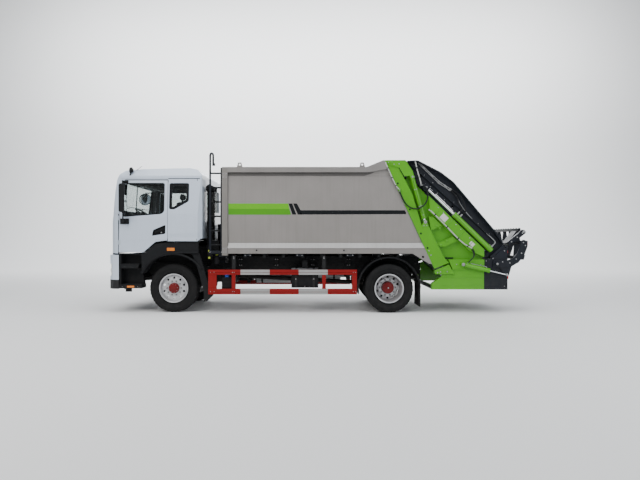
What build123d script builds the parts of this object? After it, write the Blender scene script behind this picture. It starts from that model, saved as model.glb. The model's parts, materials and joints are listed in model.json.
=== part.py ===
from build123d import *
import os
from math import sin, cos, radians, tan, sqrt, hypot

os.makedirs("parts", exist_ok=True)

# Rear-loading compactor truck, two axles, cab over the engine.
# Millimetres. +X towards the rear, -Y the left side, +Z up, ground at Z = 0.
# Tables give x measured back from the front axle; AX_F puts them in the frame.

# ---------------------------------------------------------------- dimensions
AX_F = -2923.5            # x of the front axle in the frame
WHEELBASE = 4500.0
TYRE_R, TYRE_W, RIM_R = 506.0, 276.0, 292.0
AXLE_Z = 506.0
TRACK_F = 1000.0          # front wheel centre, off the middle
DUAL_OUT, DUAL_IN = 1090.0, 770.0
HALF_W = 1250.0           # half the legal width
RAIL_Y, RAIL_T, RAIL_H, RAIL_FL = 430.0, 8.0, 250.0, 75.0
RAIL_TOP = 1010.0
SUB_H = 110.0             # sub-frame on the rails
CAB_Y, CAB_WALL = 1215.0, 50.0
SLOPE = 44.0              # slope of the packing slide
SX, SZ = 5273.0, 2610.0   # slide rod eye, the origin of the slope frame
HINGE = (4532.0, 3128.0)  # tailgate hinge
LIFT_LO, LIFT_UP = (5250.0, 1887.0), (4980.0, 2824.0)
LIFTER = (6730.0, 1020.0)
LEVER_PIN, LIFTER_CLEVIS = (6921.0, 797.0), (6018.0, 1009.0)
SLIDE_STROKE, SCRAPE_L = 650.0, 620.0
SCRAPE_PIN = (5832.0, 1702.0)
BODY_Y = 1238.0           # outer face of the load body's side posts
FILL_Y = 1100.0           # outer face of the tailgate's wall plates
CYL_Y = 1180.0            # middle of the outside cylinders


# ------------------------------------------------------------------- helpers
def fx(x):
    return x + AX_F


def slope(s, n):
    """Table x, z of a point s down the slide and n square to it."""
    a = radians(SLOPE)
    return (SX + s * cos(a) + n * sin(a), SZ - s * sin(a) + n * cos(a))


def side(points, y0, y1, mode=Mode.ADD, r=0.0):
    """Outline seen from the side, (x, z), run from y0 to y1."""
    with BuildSketch(Plane.XZ.offset(-y0)) as sk:
        with BuildLine():
            Polyline(*[(fx(x), z) for x, z in points], close=True)
        make_face()
        if r:
            fillet(sk.vertices(), r)
    extrude(to_extrude=sk.sketch, amount=y1 - y0, dir=(0, 1, 0), mode=mode)


def both(points, y0, y1, mode=Mode.ADD, r=0.0):
    """The same outline on the left and on the right side."""
    side(points, -y1, -y0, mode, r)
    side(points, y0, y1, mode, r)


def plan(points, z0, z1, mode=Mode.ADD, r=0.0):
    """Outline seen from above, (x, y), run from z0 to z1."""
    with BuildSketch(Plane.XY.offset(z0)) as sk:
        with BuildLine():
            Polyline(*[(fx(x), y) for x, y in points], close=True)
        make_face()
        if r:
            fillet(sk.vertices(), r)
    extrude(to_extrude=sk.sketch, amount=z1 - z0, dir=(0, 0, 1), mode=mode)


def front(points, x0, x1, mode=Mode.ADD, r=0.0):
    """Outline seen along the truck, (y, z), run from x0 to x1."""
    with BuildSketch(Plane.YZ.offset(fx(x0))) as sk:
        with BuildLine():
            Polyline(*points, close=True)
        make_face()
        if r:
            fillet(sk.vertices(), r)
    extrude(to_extrude=sk.sketch, amount=x1 - x0, dir=(1, 0, 0), mode=mode)


def block(x0, x1, y0, y1, z0, z1, mode=Mode.ADD):
    """A block between two corners."""
    with Locations((fx((x0 + x1) / 2), (y0 + y1) / 2, (z0 + z1) / 2)):
        Box(abs(x1 - x0), abs(y1 - y0), abs(z1 - z0), mode=mode)


def blocks(rows, mode=Mode.ADD):
    """Rows of x0, x1, y0, y1, z0, z1, each on the left and mirrored to the right."""
    for x0, x1, y0, y1, z0, z1 in rows:
        block(x0, x1, y0, y1, z0, z1, mode)
        block(x0, x1, -y1, -y0, z0, z1, mode)


def disc(x, z, r, y0, y1, mode=Mode.ADD):
    """A round bar or hole along Y."""
    with BuildSketch(Plane.XZ.offset(-y0)) as sk:
        with Locations((fx(x), z)):
            Circle(r)
    extrude(to_extrude=sk.sketch, amount=y1 - y0, dir=(0, 1, 0), mode=mode)


def discs(x, z, r, y0, y1, mode=Mode.ADD):
    disc(x, z, r, y0, y1, mode)
    disc(x, z, r, -y1, -y0, mode)


def rod(p, q, r, mode=Mode.ADD):
    """A round bar between two points, (x, y, z) each."""
    a, b = Vector(fx(p[0]), p[1], p[2]), Vector(fx(q[0]), q[1], q[2])
    with BuildSketch(Plane(origin=a, z_dir=b - a)) as sk:
        Circle(r)
    extrude(to_extrude=sk.sketch, amount=(b - a).length, dir=(b - a).normalized(), mode=mode)


def band(p, q, w):
    """Corners of a straight strip of width w from p to q, seen from the side."""
    dx, dz = q[0] - p[0], q[1] - p[1]
    k = w / 2 / hypot(dx, dz)
    ox, oz = -dz * k, dx * k
    return [(p[0] + ox, p[1] + oz), (q[0] + ox, q[1] + oz),
            (q[0] - ox, q[1] - oz), (p[0] - ox, p[1] - oz)]


def arc_band(cx, cz, r0, r1, a0, a1, steps=10):
    """Corners of a strip bent round a centre, angles in degrees from +X."""
    angles = [radians(a0 + (a1 - a0) * i / steps) for i in range(steps + 1)]
    return ([(cx + r1 * cos(a), cz + r1 * sin(a)) for a in angles]
            + [(cx + r0 * cos(a), cz + r0 * sin(a)) for a in reversed(angles)])


def save(builder, name):
    builder.part.label = name
    export_step(builder.part, f"parts/{name}.step")
    box = builder.part.bounding_box()
    ALL.append((name, box))


ALL = []

# ----------------------------------------------------------------------- cab
# Side outline of the cab as x, z, and the outline seen from the front as y, z.
CAB_SIDE = [(-1330, 1170), (-1335, 1670), (-1262, 2054), (-1168, 2772),
            (-1120, 2890), (-1010, 2968), (-640, 3005), (330, 3030), (500, 2990),
            (600, 2880), (600, 1490), (-160, 1490), (-358, 1469), (-612, 1246), (-640, 1170)]
CAB_FRONT = [(-CAB_Y, 1100), (-CAB_Y, 2060), (-1150, 2860), (-1040, 3060),
             (1040, 3060), (1150, 2860), (CAB_Y, 2060), (CAB_Y, 1100)]
DOOR = [(-1130, 1230), (-1112, 2060), (-1050, 2640), (-1010, 2768), (-102, 2768),
        (-102, 1470), (-146, 1470), (-350, 1440), (-612, 1230)]
DOOR_WIN = [(-1011, 2010), (-237, 2070), (-187, 2120), (-187, 2691), (-961, 2691)]
QUARTER_WIN = [(-60, 2170), (25, 2160), (322, 2330), (322, 2689), (-60, 2689)]


def cab_form(inset):
    """The cab's outer form, pushed in by inset on every face."""
    with BuildPart() as form:
        with BuildSketch(Plane.XZ.offset(-1300)) as sk:
            with BuildLine():
                Polyline(*[(fx(x), z) for x, z in CAB_SIDE], close=True)
            make_face()
            if inset:
                offset(amount=-inset, kind=Kind.INTERSECTION)
        extrude(to_extrude=sk.sketch, amount=2600, dir=(0, -1, 0))
        with BuildSketch(Plane.YZ.offset(fx(-1600))) as fr:
            with BuildLine():
                Polyline(*CAB_FRONT, close=True)
            make_face()
            if inset:
                offset(amount=-inset, kind=Kind.INTERSECTION)
        extrude(to_extrude=fr.sketch, amount=2600, dir=(1, 0, 0), mode=Mode.INTERSECT)
        # plan corners: large at the front, small at the rear
        with BuildSketch(Plane.XY.offset(1000)) as pl:
            with BuildLine():
                Polyline(*[(fx(x), y) for x, y in [
                    (-1335 + inset, -960 + inset * 0.4), (-1290 + inset * 0.9, -1090 + inset * 0.6),
                    (-1215 + inset * 0.6, -1170 + inset * 0.9), (-1110 + inset * 0.3, -CAB_Y + inset),
                    (520 - inset, -CAB_Y + inset), (600 - inset, -1140 + inset),
                    (600 - inset, 1140 - inset), (520 - inset, CAB_Y - inset),
                    (-1110 + inset * 0.3, CAB_Y - inset), (-1215 + inset * 0.6, 1170 - inset * 0.9),
                    (-1290 + inset * 0.9, 1090 - inset * 0.6), (-1335 + inset, 960 - inset * 0.4)]],
                    close=True)
            make_face()
        extrude(to_extrude=pl.sketch, amount=2200, dir=(0, 0, 1), mode=Mode.INTERSECT)
    return form.part


CAB_OUT, CAB_IN = cab_form(0), cab_form(CAB_WALL)
GLASS_OUT, GLASS_IN = cab_form(14), cab_form(20)

with BuildPart() as cab_shell:
    add(CAB_OUT)
    add(CAB_IN, mode=Mode.SUBTRACT)
    # the front panel, the windscreen, the doors and the floor are their own pieces
    block(-1500, -1125, -1300, 1300, 1000, 2060, Mode.SUBTRACT)
    block(-1500, -102, -1300, 1300, 1000, 1262, Mode.SUBTRACT)
    side([(-1500, 2150), (-1000, 2150), (-1000, 2750), (-1500, 2750)], -1085, 1085, Mode.SUBTRACT)
    block(-1300, 700, -1165, 1165, 1000, 1545, Mode.SUBTRACT)
    both(DOOR, 1050, 1300, Mode.SUBTRACT)
    block(-1500, -1000, -1300, 1300, 1000, 2058, Mode.SUBTRACT)
    both(QUARTER_WIN, 1050, 1300, Mode.SUBTRACT, 30)
    front([(-700, 2150), (700, 2150), (700, 2650), (-700, 2650)], 400, 700, Mode.SUBTRACT, 60)
save(cab_shell, "cab_shell")

with BuildPart() as front_panel:
    add(CAB_OUT)
    add(CAB_IN, mode=Mode.SUBTRACT)
    block(-1130, 1000, -1300, 1300, 1000, 3300, Mode.SUBTRACT)
    block(-1500, 1000, -1300, 1300, 2057, 3300, Mode.SUBTRACT)
    block(-1500, 1000, -1300, 1300, 1000, 1236, Mode.SUBTRACT)
    # round lower edge on the tilting axis
    disc(-1310, 1260, 28, -700, 700)
    # grille mouth
    block(-1500, -1300, -760, 760, 1330, 1640, Mode.SUBTRACT)
    block(-1318, -1302, -770, 770, 1320, 1650)
    for z in (1372, 1432, 1492, 1552, 1605):
        block(-1326, -1316, -762, 762, z - 12, z + 12)
save(front_panel, "front_panel")

with BuildPart() as cab_floor:
    # foot pans left and right, engine hump between, rear deck
    both([(-1275, 1262), (-640, 1262), (-400, 1490), (-110, 1500), (-110, 1540),
          (-420, 1540), (-660, 1310), (-1275, 1310)], 480, 1160)
    side([(-1275, 1262), (-1275, 1480), (-110, 1690), (545, 1690), (545, 1505),
          (500, 1505), (500, 1650), (-110, 1650), (-1235, 1440), (-1235, 1262)], -480, 480)
    both([(-110, 1500), (545, 1500), (545, 1540), (-110, 1540)], 480, 1160)
    for sy in (-1, 1):
        plan([(-1300, sy * 1300), (-1100, sy * 1300), (-1100, sy * 1150), (-1180, sy * 1060), (-1230, sy * 900),
              (-1300, sy * 900)], 1200, 1500, Mode.SUBTRACT)
save(cab_floor, "cab_floor")

with BuildPart() as cab_glass:
    # windscreen, quarter windows and rear window
    add(GLASS_OUT)
    add(GLASS_IN, mode=Mode.SUBTRACT)
    with BuildPart(mode=Mode.PRIVATE) as panes:
        side([(-1500, 2151), (-1001, 2151), (-1001, 2749), (-1500, 2749)], -1084, 1084)
        both(QUARTER_WIN, 1050, 1300, r=30)
        front([(-700, 2150), (700, 2150), (700, 2650), (-700, 2650)], 400, 700, r=60)
    add(panes.part, mode=Mode.INTERSECT)
save(cab_glass, "cab_glass")

with BuildPart() as dashboard:
    side([(-1200, 1900), (-1190, 2080), (-1000, 2110), (-870, 2040), (-850, 1930),
          (-930, 1800), (-1090, 1760), (-1200, 1760)], -880, 880)
    both([(-1095, 1900), (-1080, 2100), (-1000, 2110), (-870, 2040), (-850, 1930),
          (-930, 1800), (-1090, 1760)], 879, 1105)
    side([(-960, 2080), (-890, 2050), (-856, 2072), (-888, 2108), (-960, 2112)], -780, -340)
    block(-930, -820, -330, 330, 1700, 2000)
save(dashboard, "dashboard")

with BuildPart() as seats:
    # driver's and passenger's seat, then the bunk behind them
    both([(-560, 1835), (-60, 1800), (-60, 1930), (-540, 1960)], 390, 890)
    both([(-70, 1935), (60, 1935), (130, 2520), (20, 2540), (-60, 2200)], 400, 880)
    both([(-480, 1541), (-120, 1541), (-90, 1798), (-520, 1833)], 486, 810)
    block(190, 540, -1080, 1080, 1760, 1900)
    block(200, 530, -1070, 1070, 1691, 1759)
save(seats, "seats")

WHEEL_C, WHEEL_TILT = (-785, -640, 2075), 32.0
with BuildPart() as steering_wheel:
    wp = Plane(origin=(fx(WHEEL_C[0]), WHEEL_C[1], WHEEL_C[2]),
               x_dir=(0, 1, 0), z_dir=(sin(radians(WHEEL_TILT)), 0, cos(radians(WHEEL_TILT))))
    with BuildSketch(wp) as ws:
        Circle(225)
        Circle(195, mode=Mode.SUBTRACT)
        Rectangle(410, 34)
        with Locations((0, -100)):
            Rectangle(40, 200)
        Circle(70)
    extrude(to_extrude=ws.sketch, amount=26, dir=wp.z_dir)
    rod((-788, -640, 2072), (-805, -640, 2045), 30)
save(steering_wheel, "steering_wheel")

# ------------------------------------------------------- doors and mirrors
for hand, sy in (("left", -1), ("right", 1)):
    lo, hi = (-1300, -1050) if sy < 0 else (1050, 1300)
    with BuildPart() as door:
        add(CAB_OUT)
        add(CAB_IN, mode=Mode.SUBTRACT)
        with BuildPart(mode=Mode.PRIVATE) as leaf:
            side([(-1117, 1262), (-1104, 2060), (-1042, 2640), (-1004, 2760), (-110, 2760),
                  (-110, 1506), (-150, 1506), (-356, 1478), (-608, 1262)], lo, hi)
            side(DOOR_WIN, lo, hi, Mode.SUBTRACT, 25)
            # pull recess
            side([(-418, 1611), (-393, 1717), (-154, 1819), (-158, 1652)],
                 *((-1300, -1190) if sy < 0 else (1190, 1300)), Mode.SUBTRACT, 12)
        add(leaf.part, mode=Mode.INTERSECT)
        block(-1300, 0, *sorted((sy * 1000, sy * 1163)), 1200, 1560, Mode.SUBTRACT)
        # hinge barrels at the front edge and the pull in its recess
        for z in (1420, 1930):
            block(-1109, -1060, *sorted((sy * 1166, sy * 1140)), z, z + 90)
            rod((-1113, sy * 1210, z), (-1113, sy * 1210, z + 90), 10)
        side([(-370, 1660), (-355, 1692), (-190, 1762), (-190, 1722)],
             *sorted((sy * 1188, sy * 1206)))
    save(door, f"door_{hand}")
    with BuildPart() as pane:
        add(GLASS_OUT)
        add(GLASS_IN, mode=Mode.SUBTRACT)
        with BuildPart(mode=Mode.PRIVATE) as pane_cut:
            side(DOOR_WIN, lo, hi, r=25)
        add(pane_cut.part, mode=Mode.INTERSECT)
    save(pane, f"door_glass_{hand}")
    with BuildPart() as mirror:
        # tall mirror head, its arms and, on the right, the round front mirror
        y0, y1 = sorted((sy * 1262, sy * 1448))
        side([(-1032, 2110), (-1005, 2087), (-945, 2087), (-926, 2110), (-926, 2645),
              (-950, 2668), (-1010, 2668), (-1032, 2640)], y0, y1)
        rod((-979, sy * 1355, 2660), (-979, sy * 1355, 2735), 14)
        rod((-979, sy * 1355, 2722), (-985, sy * 1184, 2722), 15)
        block(-1030, -930, *sorted((sy * 1166, sy * 1192)), 2690, 2755)
        rod((-979, sy * 1355, 2095), (-979, sy * 1355, 1888), 14)
        rod((-979, sy * 1355, 1900), (-990, sy * 1228, 1900), 15)
        block(-1080, -900, *sorted((sy * 1216, sy * 1240)), 1845, 1960)
        if sy > 0:
            rod((-979, 1355, 2722), (-1400, 1330, 2700), 12)
            rod((-1400, 1330, 2700), (-1400, 1330, 2600), 12)
            with BuildSketch(Plane(origin=(fx(-1400), 1310, 2540), x_dir=(1, 0, 0), z_dir=(0.35, -0.9, -0.25))) as dish:
                Circle(146)
            extrude(to_extrude=dish.sketch, amount=45, dir=Vector(-0.35, 0.9, 0.25).normalized())
    save(mirror, f"mirror_{hand}")

# ------------------------------------------------------------------- wheels
def turned(cx, profile, mode=Mode.ADD):
    """Profile of y, r turned round a wheel's centre line at cx."""
    with BuildSketch(Plane.YZ.offset(fx(cx))) as sk:
        with BuildLine():
            Polyline(*[(y, AXLE_Z + r) for y, r in profile], close=True)
        make_face()
    revolve(profiles=sk.sketch, axis=Axis((fx(cx), 0, AXLE_Z), (0, 1, 0)),
            revolution_arc=360, mode=mode)


# Tyre section as offset from its middle and radius.
TYRE = [(-96, RIM_R + 1), (-118, 330), (-136, 395), (-138, 430), (-124, 478), (-112, 500), (-60, 506),
        (60, 506), (112, 500), (124, 478), (138, 430), (136, 395), (118, 330), (96, RIM_R + 1)]


RIM_BARREL = [(-132, 304), (-124, 304), (-118, 291), (118, 291), (124, 304), (132, 304),
              (126, 280), (60, 270), (-60, 270), (-126, 280)]


def tyre(cx, cy):
    turned(cx, [(cy + y, r) for y, r in TYRE])


def hand_holes(cx, radius, y0, y1, r=24, count=10):
    """A ring of round hand holes cut through a wheel disc."""
    with BuildSketch(Plane.XZ.offset(-y0)) as sk:
        with Locations((fx(cx), AXLE_Z)):
            with PolarLocations(radius, count, start_angle=180 / count):
                Circle(r)
    extrude(to_extrude=sk.sketch, amount=y1 - y0, dir=(0, 1, 0), mode=Mode.SUBTRACT)


for hand, sy in (("left", -1), ("right", 1)):
    with BuildPart() as tyre_f:
        tyre(0, sy * TRACK_F)
    save(tyre_f, f"tyre_front_{hand}")
    # Front rim: barrel, disc bulging outwards, hub and cap in one outline; y is off the middle.
    with BuildPart() as rim_f:
        turned(0, [(sy * y, r) for y, r in [
            (868, 304), (876, 304), (882, 291), (1118, 291), (1124, 304), (1132, 304), (1126, 280), (1066, 272),
            (1076, 250), (1088, 180), (1088, 112), (1128, 108), (1150, 96), (1156, 60), (1158, 0), (1084, 0),
            (1084, 35.05), (1000, 35.05), (1000, 100), (1074, 100), (1072, 176), (1058, 250), (1044, 270), (874, 280)]])
        hand_holes(0, 215, *sorted((sy * 1000, sy * 1110)))
    save(rim_f, f"rim_front_{hand}")
    with BuildPart() as knuckle:
        # kingpin boss, stub shaft, brake backing and steering arm
        block(-55, 55, *sorted((sy * 835, sy * 905)), AXLE_Z - 110, AXLE_Z + 110)
        disc(0, AXLE_Z, 35, *sorted((sy * 900, sy * 1080)))
        disc(0, AXLE_Z, 190, *sorted((sy * 905, sy * 990)))
        block(-320, -40, *sorted((sy * 838, sy * 862)), AXLE_Z - 100, AXLE_Z - 52)
        block(-62, 62, *sorted((sy * 810, sy * 868)), AXLE_Z - 45, AXLE_Z + 75, Mode.SUBTRACT)
        with Locations((fx(0), sy * 840, AXLE_Z)):
            Cylinder(20, 240, mode=Mode.SUBTRACT)
    save(knuckle, f"knuckle_{hand}")
    with BuildPart() as tyre_r:
        tyre(WHEELBASE, sy * DUAL_OUT)
        tyre(WHEELBASE, sy * DUAL_IN)
    save(tyre_r, f"tyre_rear_{hand}")
    # Rear dual rims: both discs bolt face to face at y 930, deep dish outside.
    with BuildPart() as rim_r:
        for turn, mid in ((1, DUAL_OUT), (-1, DUAL_IN)):
            turned(WHEELBASE, [(sy * (mid + turn * y), r) for y, r in RIM_BARREL])
            turned(WHEELBASE, [(sy * y, r) for y, r in [
                (930, 35.05), (930, 200), (930 + turn * 24, 250), (930 + turn * 102, 272), (930 + turn * 118, 272),
                (930 + turn * 42, 240), (930 + turn * 16, 195), (930 + turn * 16, 35.05)]])
        turned(WHEELBASE, [(sy * y, r) for y, r in [(940, 0), (940, 135), (1010, 128), (1070, 118), (1082, 60), (1084, 0)]])
        turned(WHEELBASE, [(sy * y, r) for y, r in [(935, 100), (935, 205), (720, 205), (720, 100)]])
        hand_holes(WHEELBASE, 222, *sorted((sy * 860, sy * 1000)))
        disc(WHEELBASE, AXLE_Z, 35.05, *sorted((sy * 880, sy * 1000)), Mode.SUBTRACT)
    save(rim_r, f"rim_rear_{hand}")

# ------------------------------------------------------------------ chassis
RAIL_X0, RAIL_X1 = -1120.0, 5290.0
with BuildPart() as chassis_frame:
    for sy in (-1, 1):
        y_out, y_web, y_in = sy * RAIL_Y, sy * (RAIL_Y - RAIL_T), sy * (RAIL_Y - RAIL_FL)
        block(RAIL_X0, RAIL_X1, *sorted((y_out, y_web)), RAIL_TOP - RAIL_H, RAIL_TOP)
        for z in (RAIL_TOP - RAIL_T, RAIL_TOP - RAIL_H):
            block(RAIL_X0, RAIL_X1, *sorted((y_out, y_in)), z, z + RAIL_T)
    for x in (-1060, 760, 1700, 2700, 3700, 5230):
        block(x - 50, x + 50, 8 - RAIL_Y, RAIL_Y - 8, RAIL_TOP - 190, RAIL_TOP - 60)
    # front and rear spring hangers, clear of the leaves
    for x0, x1, z0 in ((-840, -765, 660), (765, 860, 660), (3640, 3735, 640), (5265, 5290, 640)):
        both([(x0, z0), (x1, z0), (x1, 770), (x0, 770)], 372, 430)
save(chassis_frame, "chassis_frame")

BEARERS = [1100, 1500, 1900, 2300, 2700, 3100, 3500, 3900, 4300, 4700, 5100]
with BuildPart() as subframe:
    blocks([(1050, 5260, 356, 430, RAIL_TOP + 1, 1150)])
    for x in BEARERS:
        block(x - 30, x + 30, -1140, 1140, 1148, 1230)
    # side-guard hangers
    for x in (1268, 3146):
        blocks([(x - 38, x + 38, 1150, 1188, 430, 1190), (x - 30, x + 30, 900, 1152, 1100, 1190)])
save(subframe, "subframe")

with BuildPart() as front_axle:
    front([(-790, 530), (-620, 430), (620, 430), (790, 530), (790, 560), (600, 500), (-600, 500), (-790, 560)], -50, 50)
    blocks([(-45, 45, 770, 826, AXLE_Z - 40, AXLE_Z + 70), (-22, 22, 820, 841, AXLE_Z - 40, AXLE_Z + 70)])
    for sy in (-1, 1):
        with Locations((fx(0), sy * 840, AXLE_Z + 15)):
            Cylinder(24, 110)
    for sy in (-1, 1):
        with Locations((fx(0), sy * 840, AXLE_Z)):
            Cylinder(19.95, 220)
    blocks([(-70, 70, 356, 430, 495, 559)])
save(front_axle, "front_axle")

with BuildPart() as leaf_springs:
    both(arc_band(0, 3260, 2640, 2700, 253.8, 286.2), 360, 426)
    both(arc_band(WHEELBASE, 4592, 3920, 4000, 259.2, 280.8), 360, 426)
save(leaf_springs, "leaf_springs")

with BuildPart() as rear_axle:
    blocks([(WHEELBASE - 62, WHEELBASE + 62, 0, 690, AXLE_Z - 68, AXLE_Z + 68)])
    disc(WHEELBASE, AXLE_Z, 205, -150, 150)
    discs(WHEELBASE, AXLE_Z, 90, 690, 860)
    discs(WHEELBASE, AXLE_Z, 35, 850, 990)
    blocks([(WHEELBASE - 55, WHEELBASE + 55, 356, 430, AXLE_Z + 60, 591)])
    # propeller shaft to the gearbox
    rod((WHEELBASE - 190, 0, 520), (1186, 0, 690), 45)
    discs(WHEELBASE, AXLE_Z, 60, 0, 10)
save(rear_axle, "rear_axle")

with BuildPart() as engine:
    block(-560, 660, -330, 330, 620, 1380)
    block(660, 1178, -210, 210, 560, 812)
save(engine, "engine")

with BuildPart() as bumper:
    # plan outline with rounded corners, then the shape of the front face
    plan([(-1400, -700), (-1385, -960), (-1330, -1120), (-1240, -1205), (-1113, -1225), (-1113, -1160),
          (-1220, -1120), (-1290, -1000), (-1310, -700), (-1310, 700), (-1290, 1000), (-1220, 1120),
          (-1113, 1160), (-1113, 1225), (-1240, 1205), (-1330, 1120), (-1385, 960), (-1400, 700)], 500, 1204)
    block(-1450, -1392, -1300, 1300, 1080, 1300, Mode.SUBTRACT)
    block(-1500, -1340, -560, 560, 900, 1060, Mode.SUBTRACT)
    block(-1345, -1335, -562, 562, 898, 1062)
    side([(-1450, 480), (-1330, 480), (-1400, 640), (-1450, 640)], -1300, 1300, Mode.SUBTRACT)
    # lamp pockets
    both([(-1500, 760), (-1236, 760), (-1236, 1020), (-1500, 1020)], 760, 1176, Mode.SUBTRACT)
    # brackets to the rails and the towing eye's cross plate
    blocks([(-1312, -1121, 350, 372, 600, 960)])
    block(-1312, -1290, -372, 372, 600, 700)
    # towing lug under the left end of the bumper
    side([(-1082, 410), (-955, 410), (-955, 495), (-1082, 495)], -920, -895)
    block(-1116, -1040, -920, -895, 470, 560)
    block(-1330, -1100, -920, -895, 510, 560)
    # front towing eye in the middle
    block(-1478, -1300, -30, 30, 600, 700)
    with Locations((fx(-1446), 0, 650)):
        Cylinder(17, 140, mode=Mode.SUBTRACT)
save(bumper, "bumper")

with BuildPart() as headlamps:
    for sy in (-1, 1):
        plan([(-1378, sy * 770), (-1368, sy * 960), (-1318, sy * 1100), (-1262, sy * 1170), (-1240, sy * 1150),
              (-1300, sy * 1040), (-1320, sy * 960), (-1325, sy * 770)], 766, 1014)
save(headlamps, "headlamps")

with BuildPart() as cab_steps:
    both([(-1100, 512), (-640, 512), (-640, 590), (-1100, 590)], 930, 1225)
    both([(-1100, 926), (-720, 926), (-690, 1016), (-1100, 1016)], 930, 1215)
    both([(-1104, 512), (-1070, 512), (-1070, 1234), (-1104, 1234)], 930, 1205)
    both([(-1070, 590), (-648, 590), (-700, 930), (-1070, 930)], 930, 1010)
    both([(-1070, 1016), (-690, 1016), (-650, 1234), (-1070, 1234)], 930, 1010)
    blocks([(-1060, -700, 431, 932, 700, 760)])
save(cab_steps, "cab_steps")

with BuildPart() as front_fenders:
    # arch over the wheel, its top band under the cab, and the flap behind
    both(arc_band(0, AXLE_Z, 705, 745, 35, 154, 12), 900, 1218)
    both([(-648, 1234), (-640, 916), (-612, 830), (-600, 900), (-560, 990), (-470, 1070), (-300, 1160), (-120, 1240),
          (300, 1240), (540, 1240), (540, 1468), (-150, 1460), (-352, 1434), (-612, 1226)], 1190, 1218)
    both([(390, 1241), (540, 1241), (620, 1000), (700, 720), (830, 360), (700, 237), (640, 237), (640, 420),
          (560, 760), (480, 1030)], 1100, 1184)
    both([(470, 1000), (560, 760), (640, 420), (640, 330), (660, 330), (660, 430), (585, 770), (500, 1020)], 900, 1101)
    blocks([(540, 620, 431, 1100, 940, 980)])
save(front_fenders, "front_fenders")

with BuildPart() as rear_fenders:
    both(arc_band(WHEELBASE, AXLE_Z, 630, 656, 0, 190, 14), 640, 1215)
    both([(5125, 131), (5150, 131), (5150, 680), (5125, 680)], 640, 1215)
    for x in (WHEELBASE - 645, WHEELBASE + 640):
        blocks([(x - 10, x + 10, 431, 645, 780, 820)])
save(rear_fenders, "rear_fenders")

GUARD_X0, GUARD_X1 = 743.0, 3831.0
with BuildPart() as side_guards:
    blocks([(GUARD_X0, GUARD_X1, 1190, 1228, 793, 899), (GUARD_X0, GUARD_X1, 1190, 1228, 387, 501),
            (743, 918, 1192, 1226, 500, 794), (1230, 1307, 1192, 1226, 500, 794),
            (3107, 3186, 1192, 1226, 500, 794), (3727, 3831, 1192, 1226, 500, 794)])
save(side_guards, "side_guards")

with BuildPart() as tanks_silencer:
    # left: fuel tank and small reagent tank; right: air tanks and battery box
    with BuildPart(mode=Mode.PRIVATE) as fuel:
        block(2464, 3028, -1140, -560, 512, 900)
        fillet(fuel.part.edges().filter_by(Axis.X), 50)
    add(fuel.part)
    block(2470, 3022, -1120, -580, 898, 914)
    block(2691, 2803, -1080, -980, 914, 1060)
    block(2550, 2640, -562, -431, 700, 760)
    block(2850, 2940, -562, -431, 700, 760)
    block(1009, 1224, -1140, -780, 489, 737)
    with Locations((fx(1111), -1090, 752)):
        Cylinder(38, 34)
    block(1080, 1150, -1140, -431, 735, 765)
    for z in (560, 790):
        rod((1500, 900, z), (2500, 900, z), 105)
    block(1600, 1640, 431, 900, 650, 700)
    block(2360, 2400, 431, 900, 650, 700)
    block(1560, 1620, 840, 900, 600, 760)
    block(2380, 2440, 840, 900, 600, 760)
    block(1560, 1620, 880, 900, 640, 710)
    block(1000, 1420, 700, 1150, 520, 880)
    block(1150, 1250, 431, 705, 700, 760)
    # silencer on the right
    rod((2780, 820, 640), (3560, 820, 640), 150)
    rod((3560, 820, 640), (3720, 820, 640), 50)
    block(2900, 2950, 431, 700, 700, 740)
    block(3380, 3430, 431, 700, 700, 740)
save(tanks_silencer, "tanks_silencer")

with BuildPart() as ladder:
    # two tube rails, the left one hooked over at the top, and six rungs
    hook = [(764, 1284), (764, 3290), (774, 3318), (796, 3330), (818, 3318), (828, 3290), (828, 3067)]
    for (xa, za), (xb, zb) in zip(hook, hook[1:]):
        rod((xa, -1120, za), (xb, -1120, zb), 21)
    for x, z in hook[1:-1]:
        with Locations((fx(x), -1120, z)):
            Sphere(21)
    rod((1000, -1120, 1284), (1000, -1120, 3026), 21)
    for z in (1411, 1711, 2011, 2311, 2611, 2911):
        rod((764, -1120, z), (1000, -1120, z), 15)
    block(740, 1030, -1141, -1080, 1230, 1290)
    block(940, 1030, -1090, -431, 1160, 1232)
    block(985, 1031, -1135, -1105, 2890, 2930)
save(ladder, "ladder")

with BuildPart() as air_intake:
    # snorkel with its hood, the hose box below and the carrier from the rail
    side([(655, 1500), (760, 1500), (760, 2560), (655, 2560)], -900, -620, r=20)
    side([(640, 2562), (800, 2562), (800, 2660), (690, 2700), (640, 2660)], -940, -580, r=15)
    block(650, 900, -880, -600, 1180, 1502)
    block(700, 760, -700, -431, 960, 1180)
    block(690, 770, -700, -640, 900, 1190)
save(air_intake, "air_intake")

with BuildPart() as oil_tank:
    # hydraulic oil tank between cab and body, with its valve block
    block(690, 980, 60, 1000, 1160, 1880)
    block(700, 960, 100, 430, 1010, 1161)
    block(720, 900, -420, -60, 1160, 1420)
    block(700, 960, -430, -100, 1010, 1161)
save(oil_tank, "oil_tank")

# --------------------------------------------------------------- load body
BX0, BX1 = 1032.0, 1149.0      # front post
REAR_TOP, REAR_LOW = (4406.0, 3153.0), (5454.0, 874.0)


def rear_x(z, off=0.0):
    """x of the body's slanted rear edge at height z."""
    k = (REAR_LOW[0] - REAR_TOP[0]) / (REAR_TOP[1] - REAR_LOW[1])
    return REAR_TOP[0] + (REAR_TOP[1] - z) * k + off


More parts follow.
